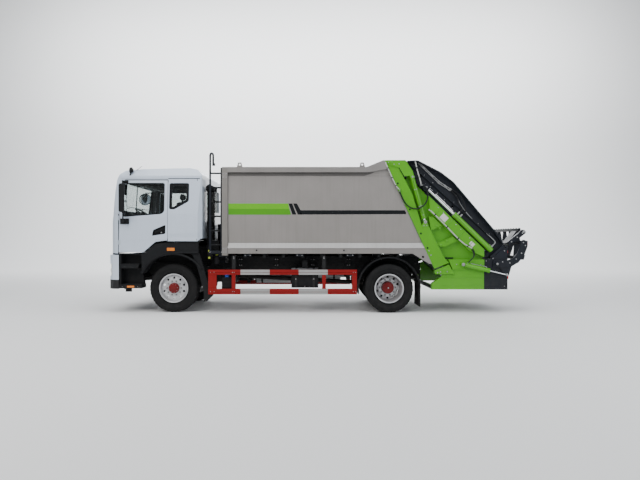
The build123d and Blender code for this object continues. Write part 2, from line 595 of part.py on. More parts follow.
with BuildPart() as body_floor:
    both([(BX1, 1232), (rear_x(1232, -2), 1232), (rear_x(1338, -2), 1338), (BX1, 1338)], 1160, BODY_Y)
    block(BX1, rear_x(1338, -4), -1160, 1160, 1310, 1330)
    for x in BEARERS[1:]:
        block(x - 25, x + 25, -1160, 1160, 1232, 1312)
    both([(4982, 1233), (rear_x(1233, -2), 1233), (rear_x(1020, -2), 1020), (5330, 1020)], 1200, BODY_Y)
    discs(5200, 1165, 24, 1190, 1250, Mode.SUBTRACT)
save(body_floor, "body_floor")

with BuildPart() as body_sides:
    for sy in (-1, 1):
        front([(sy * y, z) for y, z in [(1238, 1339), (1208, 1459), (1218, 1900), (1219, 2250), (1208, 2845), (1208, 3160),
                                        (1168, 3160), (1168, 2845), (1179, 2250), (1178, 1900), (1168, 1459), (1168, 1339)]],
              BX1, 5300)
    with BuildPart(mode=Mode.PRIVATE) as side_trim:
        side([(BX1, 1300), (rear_x(1300, -2), 1300), (rear_x(3126, -2), 3126), (4362, 3126), (4033, 2995), (BX1, 2995)],
             -1300, 1300)
    add(side_trim.part, mode=Mode.INTERSECT)
save(body_sides, "body_sides")

with BuildPart() as body_roof:
    side([(BX0, 2998), (4040, 2998), (4368, 3132), (rear_x(3132, -2), 3132), (rear_x(3166, -2), 3166),
          (4368, 3166), (4033, 3028), (BX0, 3028)], -1208.5, 1208.5)
    both([(BX1, 2917), (4060, 2917), (rear_x(2990, -2), 2990), (rear_x(3166, -2), 3166), (4368, 3166), (4033, 3028),
          (BX1, 3028)], 1208.5, 1250)
    both([(BX0, 2998), (BX1, 2998), (BX1, 3028), (BX0, 3028)], 1208, 1250)
    # lifting eyes on the top rails
    for x in (1400, 3938):
        both([(x - 60, 3020), (x + 60, 3020), (x + 34, 3120), (x - 34, 3120)], 1216, 1240, r=8)
        discs(x, 3078, 20, 1190, 1260, Mode.SUBTRACT)
save(body_roof, "body_roof")

with BuildPart() as body_front:
    blocks([(BX0, BX1, 1150, 1250, 1194, 2997)])
    block(BX0 + 20, BX0 + 60, -1150, 1150, 1240, 2997)
    block(BX0, BX1, -1150, 1150, 1232, 1300)
    for y in (-700, -240, 240, 700):
        block(BX0 - 12, BX0 + 22, y - 40, y + 40, 1240, 2997)
save(body_front, "body_front")

BAND_L = [(rear_x(3169), 3169), (rear_x(918), 918)]


def band_right(z, off=0.0):
    """x of the rear frame post's rear edge at height z."""
    return 4801 + (2813 - z) * 0.5068 + off


with BuildPart() as rear_frame:
    # post on each side, with a clevis pocket for the lift cylinder's lower eye
    both([BAND_L[0], BAND_L[1], (5740, 1044), (band_right(1122), 1122), (band_right(3169), 3169)], FILL_Y + 5, 1235)
    both([(4830, 2980), (5000, 2980), (5200, 2250), (5320, 1830), (5290, 1800), (5180, 1800), (5150, 1880)], 1116, 1260,
         Mode.SUBTRACT)
    # outer clevis ear on a foot below the pocket
    both([(5170, 1770), (5320, 1770), (5300, 1830), (5275, 1925), (5225, 1925), (5180, 1830)], 1224, 1236)
    both([(5175, 1770), (5300, 1770), (5290, 1812), (5185, 1812)], 1110, 1236)
    side([(rear_x(3130), 3130), (4500, 3130), (4560, 3070), (4560, 3000), (rear_x(3000), 3000)], -1106, 1106)
    side([(rear_x(1180), 1180), (rear_x(1080), 1080), (rear_x(1080) + 60, 1080), (rear_x(1180) + 30, 1180)], -1106, 1106)
    discs(HINGE[0], HINGE[1], 25, 1230, 1254)
    # clamp where the hose leaves the left post
    block(4690, 4732, -1264, -1234, 2527, 2572)
save(rear_frame, "rear_frame")

# ---------------------------------------------------------------- tailgate
# Side wall outline; its front edge runs 10 mm behind the rear frame's posts.
WALL = [(band_right(2770, 10), 2770), (4925, 2855), (4996, 2840), (5108, 2640), slope(-60, -88), slope(1736, -88), (6474, 1318),
        (6474, 486), (5386, 486), (5386, 605), (5582, 753), (5590, 803), (5452, 804), (5446, 888), (5756, 1012), (band_right(1122, 10), 1122)]

with BuildPart() as tailgate_sides:
    both(WALL, 1085, 1100)
    # raised frame: slope beam, hopper skin, cross beam and two ribs
    both([slope(150, -90), slope(1749, -90), (6474, 1336), (6474, 1160), slope(1560, -320), slope(420, -320)], 1100, 1215)
    both([(6474, 486), (6474, 900), (5770, 900), (5856, 800), (5590, 800), (5582, 753), (5386, 605), (5386, 486)], 1100, 1206)
    both([(5818, 899), (6474, 899), (6474, 1109), (5732, 1109)], 1100, 1228)
    both([(5330, 2003), (5420, 2003), (5609, 1814), (5400, 1724), (5372, 1724)], 1100, 1180)
    both([(band_right(1480, 14), 1480), (5599, 1480), (5828, 1590), (5933, 1500), (5669, 1376), (band_right(1376, 14), 1376)],
         1100, 1180)
    # lock foot under the rear frame's post
    both([(5454, 805), (5446, 888), (5740, 1004), (5852, 805)], 1099, 1242)
    # upper plate with the hinge ear, and the block that ties it to the wall
    both([(4444, 3128), (4470, 3169), (4834, 3169), (4980, 2949), (5015, 2836), (4988, 2726), (4914, 2849),
          (4815, 2820), (4705, 3010), (4500, 3066)], 1237, 1250)
    both([(4740, 3169), (4834, 3169), (4980, 2949), (5015, 2836), (4988, 2770), (4914, 2855), (4835, 2830), (4740, 3010)],
         1100, 1238)
    both([(4900, 2890), (5080, 2890), (5080, 2600), (4860, 2600), (4880, 2760)], 1121, 1237.5, Mode.SUBTRACT)
    discs(HINGE[0], HINGE[1], 25.05, 1236, 1251, Mode.SUBTRACT)
    # plain pins for the lift cylinders' upper eyes
    discs(LIFT_UP[0], LIFT_UP[1], 22, 1120, 1240)
    # lugs for the lifter cylinders' clevis
    both([(5960, 960), (6060, 960), (6060, 1062), (5960, 1062)], 1100, 1132)
    # cross tubes under the hopper
    block(5400, 5470, -1085, 1085, 490, 560)
    block(6400, 6470, -1085, 1085, 490, 560)
save(tailgate_sides, "tailgate_sides")

# Black side plates above the slide's slot, with rims, cross beams and top cover.
CHEEK = [slope(-690, 96), (5082, 3173), (5567, 2926), (5837, 2724), (6740, 1663), (6886, 1438), (6890, 1356),
         (6640, 1136), (6478, 1136), (6478, 1326), slope(1740, -84), slope(760, -84), slope(760, 62), slope(-60, 62), slope(-60, -84), slope(-130, -84)]
with BuildPart() as tailgate_frame:
    both(CHEEK, 1085, 1100)
    for p, q in (((4882, 3152), (5082, 3160)), ((5082, 3160), (5567, 2913)), ((5567, 2913), (5832, 2712)),
                 ((5832, 2712), (6731, 1656)), ((6731, 1656), (6872, 1438))):
        both(band(p, q, 26), 1100, 1204)
    both(band(slope(-560, 130), slope(1800, 215), 22), 1100, 1150)
    both(band(slope(760, 74), slope(-60, 74), 22), 1100, 1112)
    # perpendicular end beam
    both([(6605, 1175), (6640, 1135), (6921, 1372), (6880, 1412)], 1100, 1190)
    # cross beams that tie the plates
    block(4990, 5070, -1085, 1085, 3060, 3140)
    side([(4620, 3150), (5000, 3150), (5000, 3162), (4620, 3162)], -1085, 1085)
    side(band(slope(330, 410), slope(400, 410), 70), -1085, 1085)
    # manifold that takes the hose from the body
    block(5128, 5176, -1262, -1099, 2630, 2676)
    discs(5186, 2866, 22, 1080, 1105, Mode.SUBTRACT)
    discs(5843, 2216, 24, 1080, 1105, Mode.SUBTRACT)
save(tailgate_frame, "tailgate_frame")

# Hose from the clamp on the left post, down in a loop and up to the manifold: table x, y, z.
HOSE_R = 13.0
HOSE = [(4711, -1250, 2519), (4753, -1253, 2420), (4803, -1257, 2310), (4872, -1260, 2222), (4968, -1262, 2168),
        (5075, -1263, 2156), (5172, -1262, 2192), (5246, -1260, 2268), (5290, -1257, 2362), (5300, -1254, 2462),
        (5287, -1251, 2550), (5243, -1249, 2622), (5186, -1248, 2648)]
with BuildPart() as loop_hose:
    hose_pts = [Vector(fx(x), y, z) for x, y, z in HOSE]
    radii = []
    for a, b, c in zip(hose_pts, hose_pts[1:], hose_pts[2:]):
        turn = radians((b - a).get_angle(c - b))
        radii.append(0.45 * min((b - a).length, (c - b).length) / tan(turn / 2))
    with BuildLine() as hose_route:
        FilletPolyline(*hose_pts, radius=radii)
    hose_wire = hose_route.wire()
    with BuildSketch(Plane(origin=hose_wire @ 0, z_dir=hose_wire % 0)) as hose_cut:
        Circle(HOSE_R)
    sweep(sections=hose_cut.sketch, path=hose_wire)
    print("hose radii", [round(r) for r in radii], "length", round(hose_wire.length, 1),
          "volume share", round(loop_hose.part.volume / (3.14159265 * HOSE_R ** 2 * hose_wire.length), 4))
save(loop_hose, "loop_hose")

# Hopper trough: slope, bottom arc round the scraper's lowest hinge, rear wall.
TC = (SCRAPE_PIN[0] + SLIDE_STROKE * cos(radians(SLOPE)), SCRAPE_PIN[1] - SLIDE_STROKE * sin(radians(SLOPE)))
TR = SCRAPE_L + 25
with BuildPart() as hopper:
    arc_in = [(TC[0] + TR * cos(radians(a)), TC[1] + TR * sin(radians(a))) for a in range(226, 331, 8)]
    arc_out = [(TC[0] + (TR + 12) * cos(radians(a)), TC[1] + (TR + 12) * sin(radians(a))) for a in range(226, 331, 8)]
    top_in = (arc_in[0][0] - 0.7193 * 640, arc_in[0][1] + 0.6947 * 640)
    top_out = (arc_out[0][0] - 0.7193 * 640, arc_out[0][1] + 0.6947 * 640)
    side([top_in] + arc_in + [(6938, 1338), (6952, 1338)] + arc_out[::-1] + [top_out], -1083, 1083)
    # black rear section of the hopper sides, rear wall and lip
    both([(6476, 486), (6960, 486), (6960, 1345), (6893, 1345), (6632, 1128), (6476, 1128)], 1085, 1205)
    side([(6952, 486), (6964, 486), (6964, 1345), (6930, 1345), (6930, 1338), (6952, 1338)], -1206, 1206)
    both([(6930, 486), (6965, 486), (6965, 1390), (6930, 1390)], 1085, 1205)
    block(6880, 6952, -1084, 1084, 486, 560)
    # lifter pivot pins and the posts that carry them
    discs(LIFTER[0], LIFTER[1], 30, 1200, 1262)
    # rear towing eye: upper and lower ear with a bore
    block(6964, 7060, -50, 50, 505, 530)
    block(6964, 7060, -50, 50, 440, 465)
    block(6960, 6990, -60, 60, 425, 545)
    with Locations((fx(7030), 0, 485)):
        Cylinder(20, 200, mode=Mode.SUBTRACT)
save(hopper, "hopper")

with BuildPart() as tail_lamps:
    blocks([(6966, 6990, 860, 1180, 700, 800), (6966, 6984, 700, 780, 720, 780)])
save(tail_lamps, "tail_lamps")

# ------------------------------------------------------------ packing slide
with BuildPart() as slide:
    both([slope(-420, 58), slope(-420, -60), slope(500, -80), slope(880, -330), slope(1080, -330), slope(1080, -200),
          slope(960, 58)], 1040, 1072)
    side([slope(-400, -20), slope(-400, -58), slope(500, -78), slope(875, -325), slope(905, -325), slope(520, -48)], -1041, 1041)
    side([slope(-420, 58), slope(-420, 20), slope(-330, 20), slope(-330, 58)], -1041, 1041)
    side([slope(120, 70), slope(120, -50), slope(200, -50), slope(200, 70)], -1041, 1041)
    for y in (-600, 600):
        side([slope(-400, -22), slope(-400, 30), slope(500, 20), slope(700, -100), slope(690, -165), slope(490, -50)], y - 15, y + 15)
    # ears for the scraper cylinders, then the scraper's pins and the slide's trunnions
    for y in (-500, 500):
        side([slope(125, 60), slope(195, 60), slope(180, 172), slope(140, 172)], y - 62, y - 42)
        side([slope(125, 60), slope(195, 60), slope(180, 172), slope(140, 172)], y + 42, y + 62)
    discs(SCRAPE_PIN[0], SCRAPE_PIN[1], 30, 930, 1050)
    discs(SX, SZ, 45, 1060, 1212)
save(slide, "slide")

with BuildPart() as slide_rods:
    a, b = slope(1190, 0), slope(55, 0)
    for sy in (-1, 1):
        rod((b[0], sy * CYL_Y, b[1]), (a[0], sy * CYL_Y, a[1]), 29)
    discs(SX, SZ, 72, 1140, 1214)
    discs(SX, SZ, 45, 1100, 1240, Mode.SUBTRACT)
save(slide_rods, "slide_rods")

with BuildPart() as slide_barrels:
    a, m, b = slope(798, 0), slope(870, 0), slope(1883, 0)
    for sy in (-1, 1):
        rod((a[0], sy * CYL_Y, a[1]), (b[0], sy * CYL_Y, b[1]), 55)
        rod((a[0], sy * CYL_Y, a[1]), (m[0], sy * CYL_Y, m[1]), 60)
        c = slope(1860, 0)
        rod((a[0], sy * CYL_Y, a[1]), (c[0], sy * CYL_Y, c[1]), 29.1, Mode.SUBTRACT)
    # feet that hold the barrels on the side plates
    for s in (900, 1780):
        both([slope(s, -30), slope(s + 60, -30), slope(s + 60, 30), slope(s, 30)], 1101, 1140)
save(slide_barrels, "slide_barrels")

BLADE = -130.0


def polar(c, r, deg):
    return (c[0] + r * cos(radians(deg)), c[1] + r * sin(radians(deg)))


SCR_BASE = slope(160, 140)
SCR_LEVER = polar(SCRAPE_PIN, 240, -26.6)
with BuildPart() as scraper:
    disc(SCRAPE_PIN[0], SCRAPE_PIN[1], 60, -1030, 1030)
    discs(SCRAPE_PIN[0], SCRAPE_PIN[1], 30.05, 920, 1040, Mode.SUBTRACT)
    p0, p1 = polar(SCRAPE_PIN, 30, BLADE), polar(SCRAPE_PIN, SCRAPE_L, BLADE)
    side(band(p0, p1, 26), -1030, 1030)
    side(band(polar(SCRAPE_PIN, SCRAPE_L - 120, BLADE), polar(SCRAPE_PIN, SCRAPE_L, BLADE), 50), -1030, 1030)
    for y in (-980, -500, 0, 500, 980):
        side([polar(SCRAPE_PIN, 55, BLADE + 80), polar(SCRAPE_PIN, SCRAPE_L - 60, BLADE), polar(SCRAPE_PIN, 40, BLADE),
              polar(SCRAPE_PIN, 40, BLADE + 20)], y - 10, y + 10)
    # levers for the cylinders
    for y in (-500, 500):
        for off in (-60, 42):
            side([polar(SCRAPE_PIN, 58, 40), polar(SCR_LEVER, 34, 40), polar(SCR_LEVER, 34, -90),
                  polar(SCRAPE_PIN, 58, -95)], y + off, y + off + 18)
save(scraper, "scraper")

SCR_LEN = hypot(SCR_LEVER[0] - SCR_BASE[0], SCR_LEVER[1] - SCR_BASE[1])
SCR_U = ((SCR_LEVER[0] - SCR_BASE[0]) / SCR_LEN, (SCR_LEVER[1] - SCR_BASE[1]) / SCR_LEN)


def along(p, u, d, y):
    return (p[0] + u[0] * d, y, p[1] + u[1] * d)


with BuildPart() as scraper_barrels:
    for y in (-500, 500):
        rod(along(SCR_BASE, SCR_U, 30, y), along(SCR_BASE, SCR_U, 700, y), 40)
        disc(SCR_BASE[0], SCR_BASE[1], 38, y - 36, y + 36)
        rod(along(SCR_BASE, SCR_U, 90, y), along(SCR_BASE, SCR_U, 720, y), 25.1, Mode.SUBTRACT)
save(scraper_barrels, "scraper_barrels")

with BuildPart() as scraper_rods:
    for y in (-500, 500):
        rod(along(SCR_BASE, SCR_U, 480, y), along(SCR_BASE, SCR_U, SCR_LEN - 20, y), 25)
        disc(SCR_LEVER[0], SCR_LEVER[1], 34, y - 34, y + 34)
save(scraper_rods, "scraper_rods")

# ----------------------------------------------------------- lift cylinders
LIFT_LEN = hypot(LIFT_UP[0] - LIFT_LO[0], LIFT_UP[1] - LIFT_LO[1])
LIFT_U = ((LIFT_LO[0] - LIFT_UP[0]) / LIFT_LEN, (LIFT_LO[1] - LIFT_UP[1]) / LIFT_LEN)
with BuildPart() as lift_barrels:
    for sy in (-1, 1):
        y = sy * CYL_Y
        rod(along(LIFT_UP, LIFT_U, 36, y), along(LIFT_UP, LIFT_U, 880, y), 48)
        rod(along(LIFT_UP, LIFT_U, 860, y), along(LIFT_UP, LIFT_U, 900, y), 52)
        disc(LIFT_UP[0], LIFT_UP[1], 50, y - 44, y + 44)
        disc(LIFT_UP[0], LIFT_UP[1], 22.05, y - 60, y + 60, Mode.SUBTRACT)
        rod(along(LIFT_UP, LIFT_U, 100, y), along(LIFT_UP, LIFT_U, 920, y), 28.1, Mode.SUBTRACT)
save(lift_barrels, "lift_barrels")

with BuildPart() as lift_rods:
    for sy in (-1, 1):
        y = sy * CYL_Y
        rod(along(LIFT_UP, LIFT_U, 130, y), along(LIFT_UP, LIFT_U, LIFT_LEN - 20, y), 28)
        disc(LIFT_LO[0], LIFT_LO[1], 42, y - 33, y + 33)
save(lift_rods, "lift_rods")

# ------------------------------------------------------------- bin lifter
LP = LIFTER
with BuildPart() as lifter:
    # side arms with their pivot eyes and the levers down to the cylinders
    both([(6655, 1085), (6655, 955), (6800, 940), (7010, 955), (7180, 1050), (7300, 1200), (7366, 1380), (7366, 1500),
          (7222, 1500), (7222, 1400), (7160, 1250), (7060, 1130), (6960, 1100), (6800, 1100)], 1211, 1241)
    both([(6800, 950), (6900, 955), (7044, 986), (6985, 782), (6880, 760), (6872, 800)], 1211, 1228)
    discs(LP[0], LP[1], 30.05, 1205, 1250, Mode.SUBTRACT)
    # cross tubes behind the tail, and the comb that grips the bin's rim
    disc(7294, 1462, 42, -1212, 1212)
    block(7200, 7240, -1100, 1100, 1100, 1180)
    both([(7222, 1105), (7300, 1105), (7330, 1200), (7240, 1200)], 1080, 1212)
    for y in (-760, -380, 0, 380, 760):
        side([(7240, 1110), (7290, 1110), (7400, 1440), (7350, 1731), (7290, 1731), (7262, 1420)], y - 20, y + 20)
    side([(7080, 1450), (7120, 1410), (7350, 1690), (7310, 1731)], -820, -520)
    side([(7080, 1450), (7120, 1410), (7350, 1690), (7310, 1731)], 520, 820)
    side([(7290, 1700), (7350, 1700), (7350, 1760), (7290, 1760)], -900, 900)
save(lifter, "lifter")

LC_LEN = hypot(LEVER_PIN[0] - LIFTER_CLEVIS[0], LEVER_PIN[1] - LIFTER_CLEVIS[1])
LC_U = ((LEVER_PIN[0] - LIFTER_CLEVIS[0]) / LC_LEN, (LEVER_PIN[1] - LIFTER_CLEVIS[1]) / LC_LEN)
LC_Y = 1283.0
with BuildPart() as lifter_barrels:
    for sy in (-1, 1):
        y = sy * LC_Y
        rod(along(LIFTER_CLEVIS, LC_U, 40, y), along(LIFTER_CLEVIS, LC_U, 560, y), 44)
        disc(LIFTER_CLEVIS[0], LIFTER_CLEVIS[1], 42, *sorted((y - sy * 52, y + sy * 30)))
        rod(along(LIFTER_CLEVIS, LC_U, 80, y), along(LIFTER_CLEVIS, LC_U, 580, y), 14.1, Mode.SUBTRACT)
save(lifter_barrels, "lifter_barrels")

with BuildPart() as lifter_rods:
    for sy in (-1, 1):
        y = sy * LC_Y
        rod(along(LIFTER_CLEVIS, LC_U, 450, y), along(LIFTER_CLEVIS, LC_U, LC_LEN - 15, y), 14)
        disc(LEVER_PIN[0], LEVER_PIN[1], 26, *sorted((y - sy * 30, y + sy * 20)))
save(lifter_rods, "lifter_rods")

for name, box in ALL:
    print(name, [round(v) for v in (box.min.X, box.min.Y, box.min.Z, box.max.X, box.max.Y, box.max.Z)])
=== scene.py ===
import bpy
import bmesh
import json
import math
import random
from math import sin, cos, radians, hypot
from mathutils import Vector, Matrix

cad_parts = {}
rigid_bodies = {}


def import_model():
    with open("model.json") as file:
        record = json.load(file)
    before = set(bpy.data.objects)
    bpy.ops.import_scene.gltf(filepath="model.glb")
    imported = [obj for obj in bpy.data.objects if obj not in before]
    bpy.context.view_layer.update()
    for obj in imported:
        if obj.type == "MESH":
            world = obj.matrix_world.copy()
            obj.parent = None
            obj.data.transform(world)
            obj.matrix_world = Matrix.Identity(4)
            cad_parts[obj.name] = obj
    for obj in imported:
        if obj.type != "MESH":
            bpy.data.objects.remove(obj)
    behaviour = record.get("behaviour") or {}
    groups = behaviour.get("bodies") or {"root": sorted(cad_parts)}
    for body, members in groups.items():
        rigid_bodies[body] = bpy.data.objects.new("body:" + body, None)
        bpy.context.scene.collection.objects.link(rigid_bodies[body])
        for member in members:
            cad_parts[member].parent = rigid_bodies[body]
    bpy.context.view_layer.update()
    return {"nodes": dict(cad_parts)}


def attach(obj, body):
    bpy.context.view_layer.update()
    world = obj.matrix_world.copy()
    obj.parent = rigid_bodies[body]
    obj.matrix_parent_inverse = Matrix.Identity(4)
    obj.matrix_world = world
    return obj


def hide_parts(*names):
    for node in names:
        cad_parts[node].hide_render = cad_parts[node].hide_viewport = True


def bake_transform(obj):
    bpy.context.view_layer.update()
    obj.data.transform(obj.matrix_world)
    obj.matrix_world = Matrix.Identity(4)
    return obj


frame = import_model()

NODES = frame["nodes"]
SCENE = bpy.context.scene
RNG = random.Random(7)
AX = -2.9235             # x of the front axle in the frame, metres
WB = 4500.0              # wheelbase; tables below are in millimetres, x back from the front axle


def P(x, y, z):
    return Vector((AX + x / 1000.0, y / 1000.0, z / 1000.0))


# ------------------------------------------------------------------ materials
def node(nt, kind, x=0, y=0, **sets):
    n = nt.nodes.new(kind)
    n.location = (x, y)
    for k, v in sets.items():
        setattr(n, k, v)
    return n


def paint(name, base, rough=0.4, metal=0.0, coat=0.0, coat_rough=0.08, scale=6.0, vary=0.06,
          dust_and_shade=0.0, dust_and_shade_col=(0.20, 0.165, 0.125), dust_and_shade_top=1.3, bump=0.02, bump_scale=60.0,
          rough_vary=0.12, edge=0.004, spec=0.5, grime=0.0, stretch=(1, 1, 1), emit=None, alpha=1.0,
          trans=0.0, sheen=0.0, weave=0.0, ior=1.45, split=None):
    """A painted, moulded or rubber surface: colour drift in two scales, road dust that thins with height (on the load
    body's grey also painted shade, darker towards the bottom), streaks, uneven gloss, fine bump and softened edges."""
    m = bpy.data.materials.new(name)
    m.use_nodes = True
    nt = m.node_tree
    nt.nodes.clear()
    out = node(nt, "ShaderNodeOutputMaterial", 900)
    b = node(nt, "ShaderNodeBsdfPrincipled", 600)
    nt.links.new(b.outputs[0], out.inputs[0])
    L = nt.links.new
    co = node(nt, "ShaderNodeTexCoord", -1200)
    mp = node(nt, "ShaderNodeMapping", -1020)
    mp.inputs["Scale"].default_value = stretch
    L(co.outputs["Object"], mp.inputs[0])
    n1 = node(nt, "ShaderNodeTexNoise", -800, 200)
    n1.inputs["Scale"].default_value = scale
    n1.inputs["Detail"].default_value = 5.0
    n1.inputs["Roughness"].default_value = 0.6
    L(mp.outputs[0], n1.inputs["Vector"])
    n2 = node(nt, "ShaderNodeTexNoise", -800, -80)
    n2.inputs["Scale"].default_value = bump_scale
    n2.inputs["Detail"].default_value = 4.0
    L(mp.outputs[0], n2.inputs["Vector"])
    r1 = node(nt, "ShaderNodeValToRGB", -600, 200)
    c = Vector(base[:3])
    lo, hi = c * (1.0 - vary), c * (1.0 + vary)
    r1.color_ramp.elements[0].position = 0.3
    r1.color_ramp.elements[0].color = (*[max(0.0, v) for v in lo], 1)
    r1.color_ramp.elements[1].position = 0.7
    r1.color_ramp.elements[1].color = (*[min(1.0, v) for v in hi], 1)
    L(n1.outputs["Fac"], r1.inputs[0])
    colour = r1.outputs[0]
    if split:
        # a second colour below this height
        sz = node(nt, "ShaderNodeSeparateXYZ", -800, 420)
        L(co.outputs["Object"], sz.inputs[0])
        lt = node(nt, "ShaderNodeMath", -600, 420, operation="LESS_THAN")
        L(sz.outputs["Z"], lt.inputs[0])
        lt.inputs[1].default_value = split[0]
        ms = node(nt, "ShaderNodeMix", -400, 420, data_type="RGBA")
        L(lt.outputs[0], ms.inputs["Factor"])
        L(colour, ms.inputs["A"])
        ms.inputs["B"].default_value = (*split[1], 1)
        colour = ms.outputs["Result"]
    # road dust that thins with height; on the load body's grey it is also painted shade, darker towards the bottom
    if dust_and_shade > 0:
        sep = node(nt, "ShaderNodeSeparateXYZ", -800, -320)
        L(co.outputs["Object"], sep.inputs[0])
        g = node(nt, "ShaderNodeMapRange", -600, -320)
        g.inputs["From Min"].default_value = 0.1
        g.inputs["From Max"].default_value = dust_and_shade_top
        g.inputs["To Min"].default_value = dust_and_shade
        g.inputs["To Max"].default_value = dust_and_shade * 0.08
        L(sep.outputs["Z"], g.inputs["Value"])
        n3 = node(nt, "ShaderNodeTexNoise", -800, -520)
        n3.inputs["Scale"].default_value = 9.0
        n3.inputs["Detail"].default_value = 7.0
        n3.inputs["Roughness"].default_value = 0.7
        L(co.outputs["Object"], n3.inputs["Vector"])
        r3 = node(nt, "ShaderNodeMapRange", -600, -520)
        r3.inputs["From Min"].default_value = 0.35
        r3.inputs["From Max"].default_value = 0.75
        L(n3.outputs["Fac"], r3.inputs["Value"])
        mu = node(nt, "ShaderNodeMath", -400, -400, operation="MULTIPLY", use_clamp=True)
        L(g.outputs[0], mu.inputs[0])
        L(r3.outputs[0], mu.inputs[1])
        mx = node(nt, "ShaderNodeMix", -200, 200, data_type="RGBA")
        L(mu.outputs[0], mx.inputs["Factor"])
        L(colour, mx.inputs["A"])
        mx.inputs["B"].default_value = (*dust_and_shade_col, 1)
        colour = mx.outputs["Result"]
    if grime > 0:
        # thin streaks that run down the face
        st = node(nt, "ShaderNodeMapping", -1020, -700)
        st.inputs["Scale"].default_value = (14, 14, 0.55)
        L(co.outputs["Object"], st.inputs[0])
        n4 = node(nt, "ShaderNodeTexNoise", -800, -760)
        n4.inputs["Scale"].default_value = 1.6
        n4.inputs["Detail"].default_value = 6.0
        L(st.outputs[0], n4.inputs["Vector"])
        r4 = node(nt, "ShaderNodeMapRange", -600, -760)
        r4.inputs["From Min"].default_value = 0.5
        r4.inputs["From Max"].default_value = 0.85
        r4.inputs["To Max"].default_value = grime
        L(n4.outputs["Fac"], r4.inputs["Value"])
        m4 = node(nt, "ShaderNodeMix", 0, 200, data_type="RGBA")
        L(r4.outputs[0], m4.inputs["Factor"])
        L(colour, m4.inputs["A"])
        m4.inputs["B"].default_value = (*[v * 0.45 for v in dust_and_shade_col], 1)
        colour = m4.outputs["Result"]
    L(colour, b.inputs["Base Color"])
    rr = node(nt, "ShaderNodeMapRange", -400, -120)
    rr.inputs["To Min"].default_value = max(0.02, rough - rough_vary * 0.5)
    rr.inputs["To Max"].default_value = min(1.0, rough + rough_vary)
    L(n1.outputs["Fac"], rr.inputs["Value"])
    L(rr.outputs[0], b.inputs["Roughness"])
    height = n2.outputs["Fac"]
    if weave > 0:
        w1 = node(nt, "ShaderNodeTexWave", -800, -960, wave_type="BANDS", bands_direction="X")
        w1.inputs["Scale"].default_value = weave
        w2 = node(nt, "ShaderNodeTexWave", -800, -1160, wave_type="BANDS", bands_direction="Z")
        w2.inputs["Scale"].default_value = weave
        L(co.outputs["Object"], w1.inputs["Vector"])
        L(co.outputs["Object"], w2.inputs["Vector"])
        ad = node(nt, "ShaderNodeMath", -600, -1060, operation="MULTIPLY")
        L(w1.outputs["Fac"], ad.inputs[0])
        L(w2.outputs["Fac"], ad.inputs[1])
        height = ad.outputs[0]
    bu = node(nt, "ShaderNodeBump", 300, -300)
    bu.inputs["Strength"].default_value = min(1.0, bump * 8)
    bu.inputs["Distance"].default_value = 0.001
    L(height, bu.inputs["Height"])
    if edge > 0:
        be = node(nt, "ShaderNodeBevel", 100, -450, samples=4)
        be.inputs["Radius"].default_value = edge
        L(be.outputs[0], bu.inputs["Normal"])
    L(bu.outputs[0], b.inputs["Normal"])
    b.inputs["Metallic"].default_value = metal
    b.inputs["Coat Weight"].default_value = coat
    b.inputs["Coat Roughness"].default_value = coat_rough
    b.inputs["Specular IOR Level"].default_value = spec
    b.inputs["IOR"].default_value = ior
    if sheen:
        b.inputs["Sheen Weight"].default_value = sheen
        b.inputs["Sheen Roughness"].default_value = 0.5
    if trans:
        b.inputs["Transmission Weight"].default_value = trans
    if emit:
        b.inputs["Emission Color"].default_value = (*emit, 1)
        b.inputs["Emission Strength"].default_value = 0.25
    m.diffuse_color = (*base[:3], 1)
    return m


WHITE = paint("cab_white", (0.53, 0.595, 0.69), 0.28, coat=0.6, scale=2.2, vary=0.02, dust_and_shade=0.20, dust_and_shade_top=1.5, grime=0.06, rough_vary=0.08, bump=0.006, bump_scale=14)
BUMPER2 = paint("bumper_two_tone", (0.54, 0.60, 0.69), 0.50, coat=0.0, scale=2.2, vary=0.02, dust_and_shade=0.03, dust_and_shade_top=1.0, grime=0.03, rough_vary=0.08, bump=0.006, bump_scale=14, split=(0.690, (0.004, 0.0045, 0.005)))
# load body grey: its darkening up to 2.3 m is road dust and also painted shade, the panel darker towards the bottom as
# if lit from above
WARM = paint("body_grey", (0.232, 0.215, 0.202), 0.34, coat=0.35, scale=1.6, vary=0.05, dust_and_shade=0.22, dust_and_shade_top=2.3, grime=0.16, rough_vary=0.10, bump=0.010, bump_scale=5)
# lighter copy of the body grey: a painted highlight on the upward-facing chamfer above the lower rail
WARM_PAINTED_HIGHLIGHT = paint("body_grey_painted_highlight", (0.45, 0.44, 0.43), 0.36, coat=0.3, scale=1.6, vary=0.04, dust_and_shade=0.22, dust_and_shade_top=2.3, grime=0.14, rough_vary=0.10, bump=0.010, bump_scale=5)
WARM_POST = paint("body_post_grey", (0.182, 0.170, 0.157), 0.38, coat=0.3, scale=3.0, vary=0.05, dust_and_shade=0.25, dust_and_shade_top=2.0, grime=0.16, bump=0.010, bump_scale=18)
